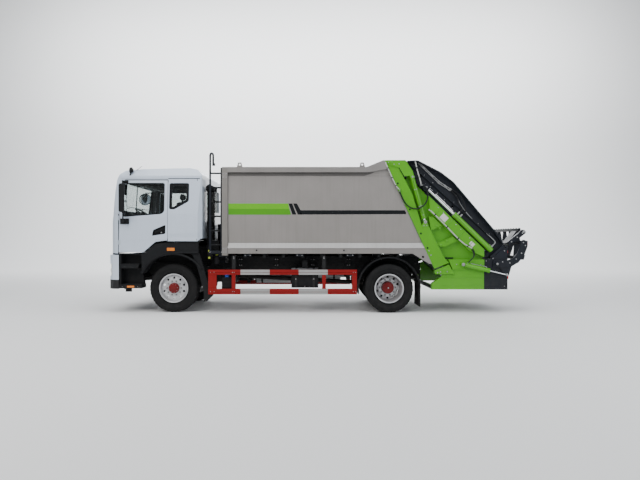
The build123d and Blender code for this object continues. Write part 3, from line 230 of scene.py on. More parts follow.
# painted shade colour, used for the recess under the top rail
WARM_SHADE = paint("body_shade_grey", (0.070, 0.065, 0.061), 0.45, scale=3.0, vary=0.05, dust_and_shade=0.10, dust_and_shade_top=2.0, grime=0.10, bump=0.010, bump_scale=18)
WARM_TRIM = paint("body_trim_grey", (0.205, 0.192, 0.182), 0.38, coat=0.3, scale=3.0, vary=0.05, dust_and_shade=0.25, dust_and_shade_top=2.0, grime=0.16, bump=0.010, bump_scale=18)
GREEN = paint("bright_green", (0.074, 0.318, 0.002), 0.36, coat=0.28, scale=2.0, vary=0.06, dust_and_shade=0.08, dust_and_shade_top=1.2, grime=0.12, rough_vary=0.10, bump=0.008, bump_scale=16, spec=0.35)
GREEN_L = paint("stripe_light_green", (0.105, 0.39, 0.004), 0.4, coat=0.2, scale=3.0, vary=0.04, grime=0.08, bump=0.004, edge=0.0, spec=0.35)
GREEN_D = paint("stripe_dark_green", (0.058, 0.27, 0.002), 0.4, coat=0.2, scale=3.0, vary=0.04, grime=0.08, bump=0.004, edge=0.0, spec=0.35)
NAVY = paint("dark_navy", (0.0065, 0.0088, 0.0140), 0.46, coat=0.08, scale=3.0, vary=0.18, dust_and_shade=0.07, dust_and_shade_top=1.4, grime=0.05, rough_vary=0.2, bump=0.02, bump_scale=24, spec=0.26)
BLACK = paint("chassis_black", (0.008, 0.009, 0.010), 0.52, scale=4.0, vary=0.2, dust_and_shade=0.26, dust_and_shade_top=1.1, rough_vary=0.25, bump=0.03, bump_scale=40, spec=0.3)
IRON = paint("iron_black", (0.018, 0.018, 0.019), 0.6, metal=0.2, scale=8.0, vary=0.3, dust_and_shade=0.30, dust_and_shade_top=1.0, rough_vary=0.25, bump=0.05, bump_scale=60, spec=0.3)
PLASTIC = paint("dark_plastic", (0.0062, 0.0068, 0.0080), 0.58, scale=5.0, vary=0.14, dust_and_shade=0.06, dust_and_shade_top=1.2, rough_vary=0.2, bump=0.045, bump_scale=420, spec=0.22)
GLOSSBLACK = paint("gloss_black", (0.006, 0.007, 0.008), 0.18, coat=0.25, scale=3.0, vary=0.1, rough_vary=0.08, bump=0.004, edge=0.0, spec=0.3)
RUBBER = paint("tyre_rubber", (0.0072, 0.0072, 0.0076), 0.80, scale=7.0, vary=0.25, dust_and_shade=0.11, dust_and_shade_col=(0.10, 0.092, 0.084), dust_and_shade_top=1.4, rough_vary=0.2, bump=0.05, bump_scale=160, spec=0.25)
HOSE = paint("hose_rubber", (0.008, 0.008, 0.009), 0.5, scale=30.0, vary=0.2, rough_vary=0.2, bump=0.05, bump_scale=220, edge=0.0, spec=0.3)
SPIRAL = paint("spiral_wrap", (0.42, 0.42, 0.40), 0.5, scale=30.0, vary=0.12, rough_vary=0.2, bump=0.03, bump_scale=160, edge=0.0)
SILVER = paint("rim_silver", (0.52, 0.52, 0.53), 0.36, metal=0.7, scale=9.0, vary=0.10, dust_and_shade=0.20, dust_and_shade_top=1.1, rough_vary=0.18, bump=0.02, bump_scale=90)
CHROME = paint("chrome_rod", (0.72, 0.73, 0.75), 0.14, metal=1.0, scale=16.0, vary=0.05, rough_vary=0.10, bump=0.008, bump_scale=120, edge=0.0)
STEEL = paint("zinc_steel", (0.32, 0.32, 0.32), 0.38, metal=0.9, scale=22.0, vary=0.18, rough_vary=0.2, bump=0.02, bump_scale=120)
HUBRED = paint("hub_red", (0.125, 0.001, 0.002), 0.44, coat=0.08, scale=9.0, vary=0.16, dust_and_shade=0.06, dust_and_shade_top=0.9, rough_vary=0.2, bump=0.02, bump_scale=60, spec=0.3)
GUARDRED = paint("guard_red", (0.215, 0.0008, 0.0006), 0.46, coat=0.0, scale=5.0, vary=0.07, dust_and_shade=0.05, dust_and_shade_top=1.0, rough_vary=0.12, bump=0.010, bump_scale=30, spec=0.3)
GUARDWHITE = paint("guard_white", (0.30, 0.297, 0.292), 0.34, coat=0.3, scale=5.0, vary=0.05, dust_and_shade=0.20, dust_and_shade_top=1.1, rough_vary=0.12, bump=0.010, bump_scale=30)
CAPBLUE = paint("cap_blue", (0.015, 0.085, 0.46), 0.38, scale=12.0, vary=0.08, dust_and_shade=0.1, bump=0.02, bump_scale=120)
AMBER = paint("lens_amber", (0.58, 0.15, 0.004), 0.2, coat=0.5, scale=14.0, vary=0.10, bump=0.05, bump_scale=240, emit=(0.8, 0.22, 0.01), edge=0.0)
REDLENS = paint("lens_red", (0.42, 0.008, 0.006), 0.2, coat=0.5, scale=14.0, vary=0.10, bump=0.05, bump_scale=240, emit=(0.6, 0.02, 0.01), edge=0.0)
LENS = paint("lens_clear", (0.62, 0.64, 0.66), 0.08, coat=0.9, scale=10.0, vary=0.10, bump=0.05, bump_scale=130, edge=0.0)
TANKGREY = paint("tank_grey", (0.36, 0.37, 0.38), 0.34, metal=0.55, scale=7.0, vary=0.10, dust_and_shade=0.3, dust_and_shade_top=1.1, rough_vary=0.2, bump=0.02, bump_scale=60)
INTERIOR = paint("cab_plastic", (0.055, 0.057, 0.062), 0.6, scale=9.0, vary=0.12, rough_vary=0.15, bump=0.05, bump_scale=500)
FABRIC = paint("seat_fabric", (0.075, 0.080, 0.095), 0.85, scale=22.0, vary=0.22, rough_vary=0.1, bump=0.10, bump_scale=900, sheen=0.35, weave=160.0, edge=0.0)
PIPING = paint("seat_piping", (0.035, 0.037, 0.042), 0.7, scale=30.0, vary=0.15, bump=0.05, bump_scale=700, sheen=0.2, edge=0.0)
YELLOWGREEN = paint("yellow_green", (0.42, 0.50, 0.05), 0.45, scale=14.0, vary=0.1, dust_and_shade=0.2, bump=0.02)
PLATE = paint("blank_plate", (0.56, 0.55, 0.52), 0.42, scale=12.0, vary=0.05, rough_vary=0.1, bump=0.01, edge=0.0)
MIRROR = paint("mirror_glass", (0.72, 0.74, 0.76), 0.03, metal=1.0, scale=4.0, vary=0.02, rough_vary=0.02, bump=0.001, edge=0.0)
REFLRED = paint("reflector_red", (0.42, 0.012, 0.010), 0.22, coat=0.5, scale=30.0, vary=0.10, bump=0.06, bump_scale=500, edge=0.0)


def glass(name, tint, weight=0.86):
    """Dark tinted glass: see-through enough to show the cab's inside, with a faint film of dust."""
    m = bpy.data.materials.new(name)
    m.use_nodes = True
    nt = m.node_tree
    nt.nodes.clear()
    L = nt.links.new
    out = node(nt, "ShaderNodeOutputMaterial", 700)
    b = node(nt, "ShaderNodeBsdfPrincipled", 200)
    t = node(nt, "ShaderNodeBsdfTransparent", 200, 200)
    t.inputs[0].default_value = (*tint, 1)
    mix = node(nt, "ShaderNodeMixShader", 500)
    co = node(nt, "ShaderNodeTexCoord", -800)
    n1 = node(nt, "ShaderNodeTexNoise", -600)
    n1.inputs["Scale"].default_value = 3.0
    n1.inputs["Detail"].default_value = 6.0
    L(co.outputs["Object"], n1.inputs["Vector"])
    r = node(nt, "ShaderNodeMapRange", -400)
    r.inputs["To Min"].default_value = 1.0 - weight
    r.inputs["To Max"].default_value = 1.0 - weight + 0.08
    L(n1.outputs["Fac"], r.inputs["Value"])
    L(r.outputs[0], mix.inputs[0])
    L(t.outputs[0], mix.inputs[1])
    L(b.outputs[0], mix.inputs[2])
    L(mix.outputs[0], out.inputs["Surface"])
    c = node(nt, "ShaderNodeValToRGB", -200)
    c.color_ramp.elements[0].color = (0.010, 0.012, 0.013, 1)
    c.color_ramp.elements[1].color = (0.05, 0.052, 0.05, 1)
    L(n1.outputs["Fac"], c.inputs[0])
    L(c.outputs[0], b.inputs["Base Color"])
    r2 = node(nt, "ShaderNodeMapRange", -200, -300)
    r2.inputs["To Min"].default_value = 0.02
    r2.inputs["To Max"].default_value = 0.12
    L(n1.outputs["Fac"], r2.inputs["Value"])
    L(r2.outputs[0], b.inputs["Roughness"])
    b.inputs["Coat Weight"].default_value = 0.6
    b.inputs["Coat Roughness"].default_value = 0.02
    b.inputs["Specular IOR Level"].default_value = 0.9
    m.diffuse_color = (0.1, 0.12, 0.13, 0.5)
    return m


GLASS = glass("tinted_glass", (0.86, 0.89, 0.885), 0.93)


# --------------------------------------------------------------- mesh helpers
class Bits:
    """Collects many small closed solids and makes one joined mesh of them. Millimetres, table x."""

    def __init__(self):
        self.v, self.f, self.m, self.s = [], [], [], []

    def add(self, verts, faces, mat=0, smooth=False):
        k = len(self.v)
        self.v.extend(verts)
        self.f.extend([[k + i for i in f] for f in faces])
        self.m.extend([mat] * len(faces))
        self.s.extend([smooth] * len(faces))

    def box(self, x0, x1, y0, y1, z0, z1, mat=0, b=2.0, turn=None, about=None):
        """Block with chamfered edges; turn is a rotation matrix about the block's middle or a given point."""
        c = Vector(((x0 + x1) / 2, (y0 + y1) / 2, (z0 + z1) / 2))
        h = [abs(x1 - x0) / 2, abs(y1 - y0) / 2, abs(z1 - z0) / 2]
        b = min(b, min(h) * 0.45)
        vs, idx = [], {}
        for sx in (-1, 1):
            for sy in (-1, 1):
                for sz in (-1, 1):
                    for t in range(3):
                        d = [h[0] - (b if t != 0 else 0), h[1] - (b if t != 1 else 0), h[2] - (b if t != 2 else 0)]
                        idx[(sx, sy, sz, t)] = len(vs)
                        q = Vector((sx * d[0], sy * d[1], sz * d[2]))
                        if turn is not None:
                            q = turn @ q
                        vs.append(P(*(c + q)))
        fs = []
        for s in (-1, 1):
            fs.append([idx[(s, -1, -1, 0)], idx[(s, 1, -1, 0)], idx[(s, 1, 1, 0)], idx[(s, -1, 1, 0)]])
            fs.append([idx[(-1, s, -1, 1)], idx[(1, s, -1, 1)], idx[(1, s, 1, 1)], idx[(-1, s, 1, 1)]])
            fs.append([idx[(-1, -1, s, 2)], idx[(1, -1, s, 2)], idx[(1, 1, s, 2)], idx[(-1, 1, s, 2)]])
        for a in (-1, 1):
            for c2 in (-1, 1):
                fs.append([idx[(a, c2, -1, 0)], idx[(a, c2, 1, 0)], idx[(a, c2, 1, 1)], idx[(a, c2, -1, 1)]])
                fs.append([idx[(a, -1, c2, 0)], idx[(a, 1, c2, 0)], idx[(a, 1, c2, 2)], idx[(a, -1, c2, 2)]])
                fs.append([idx[(-1, a, c2, 1)], idx[(1, a, c2, 1)], idx[(1, a, c2, 2)], idx[(-1, a, c2, 2)]])
                for d in (-1, 1):
                    fs.append([idx[(a, c2, d, 0)], idx[(a, c2, d, 1)], idx[(a, c2, d, 2)]])
        self.add(vs, fs, mat)

    def lathe(self, origin, axis, profile, n=20, mat=0, smooth=True, phase=0.0):
        """profile rows of distance along the axis and radius; ends are closed."""
        o, a = Vector(origin), Vector(axis).normalized()
        u = a.orthogonal().normalized()
        w = a.cross(u)
        vs, fs, rows = [], [], []
        for t, r in profile:
            if r <= 1e-6:
                rows.append([len(vs)])
                vs.append(P(*(o + a * t)))
            else:
                rows.append(list(range(len(vs), len(vs) + n)))
                for i in range(n):
                    g = 2 * math.pi * (i + phase) / n
                    vs.append(P(*(o + a * t + (u * cos(g) + w * sin(g)) * r)))
        for r0, r1 in zip(rows, rows[1:]):
            for i in range(n):
                j = (i + 1) % n
                if len(r0) == 1 and len(r1) == 1:
                    continue
                if len(r0) == 1:
                    fs.append([r0[0], r1[i], r1[j]])
                elif len(r1) == 1:
                    fs.append([r0[i], r1[0], r0[j]])
                else:
                    fs.append([r0[i], r1[i], r1[j], r0[j]])
        for r in (rows[0], rows[-1]):
            if len(r) > 1:
                fs.append(list(r))
        self.add(vs, fs, mat, smooth)

    def cyl(self, p, q, r, n=16, mat=0, c=1.5):
        """Round bar with small chamfers from p to q."""
        p, q = Vector(p), Vector(q)
        d = (q - p).length
        c = min(c, r * 0.4, d * 0.3)
        self.lathe(p, q - p, [(0, r - c), (c, r), (d - c, r), (d, r - c)], n, mat)

    def hexnut(self, p, axis, r, h, mat=0, stud=True):
        """Hexagon nut on its washer, with the stud's end."""
        self.lathe(p, axis, [(0, r * 1.28), (h * 0.16, r * 1.28), (h * 0.2, r * 1.02)], 14, mat)
        self.lathe(p, axis, [(h * 0.1, r), (h * 0.82, r), (h, r * 0.84)], 6, mat, smooth=False)
        if stud:
            self.lathe(p, axis, [(h * 0.2, r * 0.52), (h * 1.45, r * 0.52), (h * 1.6, r * 0.38)], 10, mat)

    def ball(self, p, r, n=12, mat=0):
        self.lathe(Vector(p) - Vector((0, 0, r)), (0, 0, 1),
                   [(r - r * cos(math.pi * i / 8), r * sin(math.pi * i / 8)) for i in range(9)], n, mat)

    def tube(self, pts, r, n=10, mat=0, closed=False, ridges=0.0, pitch=0.0):
        """Round tube along a smoothed line of points, with rounded ends."""
        line = smooth_line([Vector(p) for p in pts])
        self.sweep(line, r, n, mat, ridges, pitch)

    def sweep(self, line, r, n=10, mat=0, ridges=0.0, pitch=0.0):
        vs, fs, rows = [], [], []
        d0 = (line[1] - line[0]).normalized()
        u = d0.orthogonal().normalized()
        run = 0.0
        for i, p in enumerate(line):
            if i == 0:
                d = line[1] - line[0]
            elif i == len(line) - 1:
                d = line[-1] - line[-2]
            else:
                d = line[i + 1] - line[i - 1]
            if i:
                run += (line[i] - line[i - 1]).length
            d.normalize()
            u = (u - d * u.dot(d)).normalized()
            w = d.cross(u)
            k = 1.0 + (ridges * sin(2 * math.pi * run / pitch) if pitch else 0.0)
            if i in (0, len(line) - 1):
                k = 0.86
            rows.append(list(range(len(vs), len(vs) + n)))
            for j in range(n):
                g = 2 * math.pi * j / n
                vs.append(P(*(p + (u * cos(g) + w * sin(g)) * r * k)))
        for r0, r1 in zip(rows, rows[1:]):
            for j in range(n):
                k2 = (j + 1) % n
                fs.append([r0[j], r1[j], r1[k2], r0[k2]])
        fs.append(list(rows[0]))
        fs.append(list(rows[-1]))
        self.add(vs, fs, mat, True)

    def prism(self, pts, y0, y1, mat=0, b=0.0):
        """Outline seen from the side, (x, z), from y0 to y1, with an optional chamfer on the outer face y1."""
        n = len(pts)
        rings = [(y0, pts)]
        if b:
            rings.append((y1 - (b if y1 > y0 else -b), pts))
            rings.append((y1, inset(pts, b)))
        else:
            rings.append((y1, pts))
        vs, fs = [], []
        for y, ring in rings:
            vs.extend([P(x, y, z) for x, z in ring])
        for k in range(len(rings) - 1):
            for i in range(n):
                j = (i + 1) % n
                fs.append([k * n + i, k * n + j, (k + 1) * n + j, (k + 1) * n + i])
        fs.append(list(range(n)))
        fs.append([(len(rings) - 1) * n + i for i in range(n)])
        self.add(vs, fs, mat)

    def slab(self, grid_out, grid_in, mat=0, smooth=True):
        """Closed thin shell between two grids of points (rows of vectors in table millimetres)."""
        rows, cols = len(grid_out), len(grid_out[0])
        vs = [P(*p) for r in grid_out for p in r] + [P(*p) for r in grid_in for p in r]
        k = rows * cols
        fs = []
        for i in range(rows - 1):
            for j in range(cols - 1):
                a, b2, c, d = i * cols + j, i * cols + j + 1, (i + 1) * cols + j + 1, (i + 1) * cols + j
                fs.append([a, b2, c, d])
                fs.append([k + a, k + d, k + c, k + b2])
        edge = ([i * cols for i in range(rows)] + [(rows - 1) * cols + j for j in range(1, cols)]
                + [i * cols + cols - 1 for i in range(rows - 2, -1, -1)] + [j for j in range(cols - 2, 0, -1)])
        for a, b2 in zip(edge, edge[1:] + edge[:1]):
            fs.append([a, b2, k + b2, k + a])
        self.add(vs, fs, mat, smooth)

    def done(self, name, body, mats, slot=None, angle=35.0, blend=None):
        me = bpy.data.meshes.new(name)
        me.from_pydata([tuple(v) for v in self.v], [], self.f)
        for m in mats:
            me.materials.append(m)
        me.polygons.foreach_set("material_index", self.m)
        me.polygons.foreach_set("use_smooth", self.s)
        bm = bmesh.new()
        bm.from_mesh(me)
        bmesh.ops.recalc_face_normals(bm, faces=bm.faces)
        for e in bm.edges:
            if len(e.link_faces) == 2 and e.calc_face_angle(0) > radians(angle):
                e.smooth = False
        bm.to_mesh(me)
        bm.free()
        o = bpy.data.objects.new(name, me)
        SCENE.collection.objects.link(o)
        if blend:
            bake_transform(o)
        else:
            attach(o, body)
        return o


def inset(pts, b):
    """Outline pushed inwards by b."""
    n = len(pts)
    area = sum(pts[i][0] * pts[(i + 1) % n][1] - pts[(i + 1) % n][0] * pts[i][1] for i in range(n))
    s = 1.0 if area > 0 else -1.0
    res = []
    for i in range(n):
        p0, p1, p2 = Vector(pts[i - 1]), Vector(pts[i]), Vector(pts[(i + 1) % n])
        d1, d2 = (p1 - p0).normalized(), (p2 - p1).normalized()
        n1, n2 = Vector((-d1.y, d1.x)) * s, Vector((-d2.y, d2.x)) * s
        m = n1 + n2
        k = b * 2.0 / max(m.length_squared, 0.5)
        res.append(tuple(p1 + m * k))
    return res


def smooth_line(pts, steps=6):
    """Catmull-Rom line through the points."""
    if len(pts) < 3:
        return [pts[0].lerp(pts[-1], i / 4) for i in range(5)]
    q = [pts[0] * 2 - pts[1]] + pts + [pts[-1] * 2 - pts[-2]]
    res = []
    for i in range(1, len(q) - 2):
        p0, p1, p2, p3 = q[i - 1], q[i], q[i + 1], q[i + 2]
        for s in range(steps):
            t = s / steps
            res.append(0.5 * ((2 * p1) + (p2 - p0) * t + (2 * p0 - 5 * p1 + 4 * p2 - p3) * t * t
                              + (3 * p1 - p0 - 3 * p2 + p3) * t * t * t))
    res.append(pts[-1].copy())
    return res


def slope(s, n):
    """Table x, z of a point s down the packing slide and n square to it."""
    a = radians(44.0)
    return (5273.0 + s * cos(a) + n * sin(a), 2610.0 - s * sin(a) + n * cos(a))


def turn_y(deg):
    return Matrix.Rotation(radians(deg), 3, "Y")


def dress(name, mats, pick=None, auto=30.0, only=False):
    """New materials on a CAD node. pick maps a face's middle (table millimetres) and normal to a material index."""
    o = NODES[name]
    me = o.data
    me.materials.clear()
    for m in mats:
        me.materials.append(m)
    if pick:
        idx = [0] * len(me.polygons)
        for p in me.polygons:
            c = p.center
            idx[p.index] = pick((c.x - AX) * 1000, c.y * 1000, c.z * 1000, p.normal)
        me.polygons.foreach_set("material_index", idx)
    return o

# ------------------------------------------------------- finish of CAD nodes
def near_axle(x, z, cx):
    return hypot(x - cx, z - 506.0)


def rim_pick(cx):
    def pick(x, y, z, n):
        r = near_axle(x, z, cx)
        ay = abs(y)
        if cx == 0:
            return 1 if (r < 116 and ay > 1090) else 0
        return 1 if (r < 138 and ay > 938) else 0
    return pick


for hand in ("left", "right"):
    dress("rim_front_" + hand, [SILVER, HUBRED], rim_pick(0))
    dress("rim_rear_" + hand, [SILVER, HUBRED], rim_pick(4500.0))
    dress("knuckle_" + hand, [IRON])
    dress("door_glass_" + hand, [GLASS])

dress("cab_shell", [WHITE, GLOSSBLACK, INTERIOR],
      lambda x, y, z, n: 2 if (abs(y) < 1175 and x > -1180 and x < 560 and 1500 < z < 2975
                               and ((x + 300) * n.x * 0.6 + y * n.y + (z - 2200) * n.z * 0.8) < -80)
                               or (z < 1548 and abs(y) < 1196) else 0)
dress("front_panel", [WHITE, PLASTIC], lambda x, y, z, n: 1 if (abs(y) < 762 and 1325 < z < 1645) or n.x > 0.7 else 0)
dress("cab_floor", [INTERIOR])
dress("dashboard", [INTERIOR])
dress("cab_glass", [GLASS])
dress("bumper", [BUMPER2, PLASTIC], lambda x, y, z, n: 0 if (z > 560 and x < -1100 and not (x > -1345 and abs(y) < 570) and n.x < 0.7) else 1)
dress("headlamps", [LENS])
dress("cab_steps", [PLASTIC])
dress("front_fenders", [PLASTIC])
dress("rear_fenders", [PLASTIC])
dress("side_guards", [GUARDRED])
dress("chassis_frame", [BLACK])
dress("subframe", [BLACK])
dress("front_axle", [IRON])
dress("rear_axle", [IRON])
dress("leaf_springs", [IRON])
dress("engine", [IRON])
dress("tanks_silencer", [TANKGREY, CAPBLUE, PLASTIC],
      lambda x, y, z, n: 1 if (z > 738 and 1070 < x < 1150 and y < -1050)
      else (2 if (x < 1430 and (y > 0 or x < 1230)) or (y < 0 and x > 1430 and (z < 905 or z > 935)) else 0))
dress("ladder", [NAVY])
dress("air_intake", [PLASTIC])
dress("oil_tank", [NAVY])
dress("loop_hose", [HOSE])
dress("seats", [FABRIC])
dress("steering_wheel", [INTERIOR])
dress("body_floor", [WARM_TRIM])
# the chamfer band above the lower rail takes the painted highlight copy of the grey
dress("body_sides", [WARM, WARM_PAINTED_HIGHLIGHT], lambda x, y, z, n: 1 if (z < 1459 and abs(y) > 1200) else 0)
dress("body_roof", [WARM_TRIM])
dress("body_front", [WARM_POST])
dress("rear_frame", [GREEN, BLACK], lambda x, y, z, n: 1 if z < 1150 and x < 5480 and abs(y) < 1200 else 0)
dress("tailgate_sides", [GREEN, BLACK], lambda x, y, z, n: 1 if z < 1130 and x < 5440 and abs(y) < 1098 else 0)
dress("tailgate_frame", [NAVY])
dress("hopper", [NAVY])
dress("tail_lamps", [REDLENS])
dress("slide", [NAVY])
dress("slide_rods", [CHROME, NAVY], lambda x, y, z, n: 1 if hypot(x - 5273.0, z - 2610.0) < 84 else 0)
dress("slide_barrels", [GREEN])
dress("scraper", [NAVY])
dress("scraper_barrels", [NAVY])
dress("scraper_rods", [CHROME])
dress("lift_barrels", [GREEN])
dress("lift_rods", [CHROME])
dress("lifter", [NAVY])
dress("lifter_barrels", [GREEN])
dress("lifter_rods", [CHROME])
for hand in ("left", "right"):
    # the door's upper frame is the same white as the shell; the recess behind the pull is black
    dress("door_" + hand, [WHITE, PLASTIC, INTERIOR],
          lambda x, y, z, n: 1 if (-420 < x < -150 and 1600 < z < 1825 and 1180 < abs(y) < 1213)
          else (2 if n.y * y < -0.3 * abs(y) or (abs(n.y) < 0.3 and abs(y) < 1128) else 0))
    dress("mirror_" + hand, [PLASTIC])

# ---------------------------------------------------------------- the tyres
def tyre_mesh(name, cx, cys, body, steer):
    """Ribbed side walls, five tread ribs cut by zigzag grooves and shoulder lugs, one piece a wheel station."""
    vs, fs, sm = [], [], []
    seg = 160
    prof = []      # offset from the middle, radius
    prof += [(-92, 292.6), (-104, 302), (-112, 318), (-118, 334), (-121, 336), (-125, 352), (-131, 380), (-134, 398),
             (-136, 400), (-137, 428), (-136.5, 430), (-134, 448), (-129, 466), (-124, 480), (-119, 492)]
    ribs = [(-112, -66), (-58, -24), (-17, 17), (24, 58), (66, 112)]
    crown = []
    for a, b in ribs:
        ra = 505.6 - abs((a + b) / 2) ** 2 * 0.00055
        crown += [(a, ra - 13.5), (a + 1.5, ra), ((a + b) / 2, ra), (b - 1.5, ra), (b, ra - 13.5)]
    rev = [(-x, r) for x, r in reversed(prof)]
    line = prof + crown + rev
    n = len(line)
    n0, n1 = len(prof), len(prof) + len(crown)
    for cy in cys:
        k = len(vs)
        for i in range(seg):
            g = 2 * math.pi * i / seg
            for j, (t, r) in enumerate(line):
                tt, rr = t, r
                if n0 <= j < n1:
                    zig = 3.2 * (1 if (i // 2) % 2 else -1)
                    if abs(t) < 110:
                        tt = t + zig
                    if (j - n0) // 5 in (0, 4) and i % 4 == 0 and (j - n0) % 5 in (1, 2, 3):
                        rr = r - 7.0     # sipes across the shoulder ribs
                elif j in (n0 - 1, n0 - 2, n1, n1 + 1):
                    if i % 4 in (0, 1):
                        rr = r - 4.5     # shoulder lugs
                vs.append(P(cx + rr * cos(g), cy + tt, 506 + rr * sin(g)))
        for i in range(seg):
            i2 = (i + 1) % seg
            for j in range(n):
                j2 = (j + 1) % n
                fs.append([k + i * n + j, k + i * n + j2, k + i2 * n + j2, k + i2 * n + j])
                sm.append(not (n0 - 2 <= j <= n1 + 1))
    me = bpy.data.meshes.new(name)
    me.from_pydata([tuple(v) for v in vs], [], fs)
    me.polygons.foreach_set("use_smooth", sm)
    bm = bmesh.new()
    bm.from_mesh(me)
    bmesh.ops.recalc_face_normals(bm, faces=bm.faces)
    bm.to_mesh(me)
    bm.free()
    me.materials.append(RUBBER)
    o = bpy.data.objects.new(name, me)
    SCENE.collection.objects.link(o)
    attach(o, body)
    return o


for hand, sy, bf, br in (("left", -1, "wheel_fl", "wheel_rl"), ("right", 1, "wheel_fr", "wheel_rr")):
    t = tyre_mesh("tread_front_" + hand, 0.0, [sy * 1000.0], bf, True)
    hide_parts("tyre_front_" + hand)
    t = tyre_mesh("tread_rear_" + hand, WB, [sy * 1090.0, sy * 770.0], br, False)
    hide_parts("tyre_rear_" + hand)
    # nuts, studs, valve, rim lock ring and hub bolts
    w = Bits()
    for i in range(10):
        g = radians(36 * i)
        w.hexnut((150 * cos(g), sy * 1086, 506 + 150 * sin(g)), (0, sy, 0), 16, 26, 0)
    w.lathe((0, sy * 1150, 506), (0, sy, 0), [(-8, 62), (4, 60), (7, 52), (7, 44), (10, 40), (10, 0)], 24, 1)
    for i in range(8):
        g = radians(45 * i + 10)
        w.hexnut((88 * cos(g), sy * 1146, 506 + 88 * sin(g)), (0, sy, 0), 7, 6, 0, stud=False)
    w.tube([(236 * cos(0.4), sy * 1066, 506 + 236 * sin(0.4)), (246 * cos(0.42), sy * 1094, 506 + 246 * sin(0.42)),
            (238 * cos(0.44), sy * 1112, 506 + 238 * sin(0.44))], 5, 8, 0)
    w.done("wheel_nuts_front_" + hand, bf, [STEEL, HUBRED])
    w = Bits()
    for i in range(10):
        g = radians(36 * i)
        w.hexnut((WB + 168 * cos(g), sy * 945, 506 + 168 * sin(g)), (0, sy, 0), 16, 26, 0)
    for i in range(8):
        g = radians(45 * i + 10)
        w.hexnut((WB + 90 * cos(g), sy * 1058, 506 + 90 * sin(g)), (0, sy, 0), 8, 9, 0, stud=False)
    w.lathe((WB, sy * 1076, 506), (0, sy, 0), [(-6, 58), (6, 56), (9, 48), (9, 0)], 24, 1)
    w.lathe((WB, sy * 1085, 506), (0, sy, 0), [(-2, 17), (6, 17), (9, 12), (9, 0)], 16, 0)
    w.tube([(WB + 232 * cos(0.4), sy * 960, 506 + 232 * sin(0.4)), (WB + 244 * cos(0.4), sy * 1010, 506 + 244 * sin(0.4)),
            (WB + 240 * cos(0.4), sy * 1060, 506 + 240 * sin(0.4))], 5, 8, 0)
    w.done("wheel_nuts_rear_" + hand, br, [STEEL, HUBRED])

# ------------------------------------------------------------------- the cab
# Outer form of the cab at a height: half width, from the front outline.
def cab_y(z):
    rows = [(1100, 1215), (2060, 1215), (2860, 1150), (3060, 1040)]
    for (z0, y0), (z1, y1) in zip(rows, rows[1:]):
        if z <= z1:
            return y0 + (y1 - y0) * max(0.0, z - z0) / (z1 - z0)
    return 1040


def cab_front_x(z):
    rows = [(1170, -1330), (1670, -1335), (2054, -1262), (2772, -1168), (2890, -1120)]
    for (z0, x0), (z1, x1) in zip(rows, rows[1:]):
        if z <= z1:
            return x0 + (x1 - x0) * max(0.0, z - z0) / (z1 - z0)
    return -1120


def side_strip(bits, pts, w, sy, out=2.0, thick=3.0, mat=0):
    """Flat strip of width w that follows a line of x, z points on the cab's side."""
    line = [Vector((x, z)) for x, z in pts]
    n = len(line)
    L, R = [], []
    for i, p in enumerate(line):
        a = line[max(0, i - 1)]
        b = line[min(n - 1, i + 1)]
        d = (b - a).normalized()
        q = Vector((-d.y, d.x)) * (w / 2)
        L.append(p + q)
        R.append(p - q)
    def pt(p, off):
        return (p.x, sy * (cab_y(p.y) + off), p.y)
    go = [[pt(p, out) for p in L], [pt(p, out) for p in R]]
    gi = [[pt(p, out - thick) for p in L], [pt(p, out - thick) for p in R]]
    bits.slab(go, gi, mat, False)


def side_plate(bits, pts, sy, out=2.0, thick=3.0, mat=0):
    """Flat plate with this outline (x, z) lying on the cab's side."""
    n = len(pts)
    vs = [P(x, sy * (cab_y(z) + out), z) for x, z in pts] + [P(x, sy * (cab_y(z) + out - thick), z) for x, z in pts]
    fs = [list(range(n)), list(range(n, 2 * n))]
    for i in range(n):
        j = (i + 1) % n
        fs.append([i, j, n + j, n + i])
    bits.add(vs, fs, mat)


def rounded(pts, r, k=4):
    """Outline with its corners rounded by radius r."""
    res, n = [], len(pts)
    for i in range(n):
        p0, p1, p2 = Vector(pts[i - 1]), Vector(pts[i]), Vector(pts[(i + 1) % n])
        d1, d2 = (p0 - p1), (p2 - p1)
        t = min(r, d1.length * 0.45, d2.length * 0.45)
        a, b = p1 + d1.normalized() * t, p1 + d2.normalized() * t
        for s in range(k + 1):
            u = s / k
            q = a * (1 - u) ** 2 + p1 * 2 * u * (1 - u) + b * u ** 2
            res.append((q.x, q.y))
    return res


DOOR_WIN = [(-1011, 2010), (-237, 2070), (-187, 2120), (-187, 2691), (-961, 2691)]
QUARTER = [(-60, 2170), (25, 2160), (322, 2330), (322, 2689), (-60, 2689)]


def ring_plate(bits, outer, inner, sy, out, thick, mat):
    """Frame between two outlines with the same number of points, lying on the cab's side."""
    n = len(outer)
    vs = ([P(x, sy * (cab_y(z) + out), z) for x, z in outer] + [P(x, sy * (cab_y(z) + out), z) for x, z in inner]
          + [P(x, sy * (cab_y(z) + out - thick), z) for x, z in inner]
          + [P(x, sy * (cab_y(z) + out - thick), z) for x, z in outer])
    fs = []
    for k in range(4):
        for i in range(n):
            j = (i + 1) % n
            a, b = k * n, ((k + 1) % 4) * n
            fs.append([a + i, a + j, b + j, b + i])
    bits.add(vs, fs, mat)


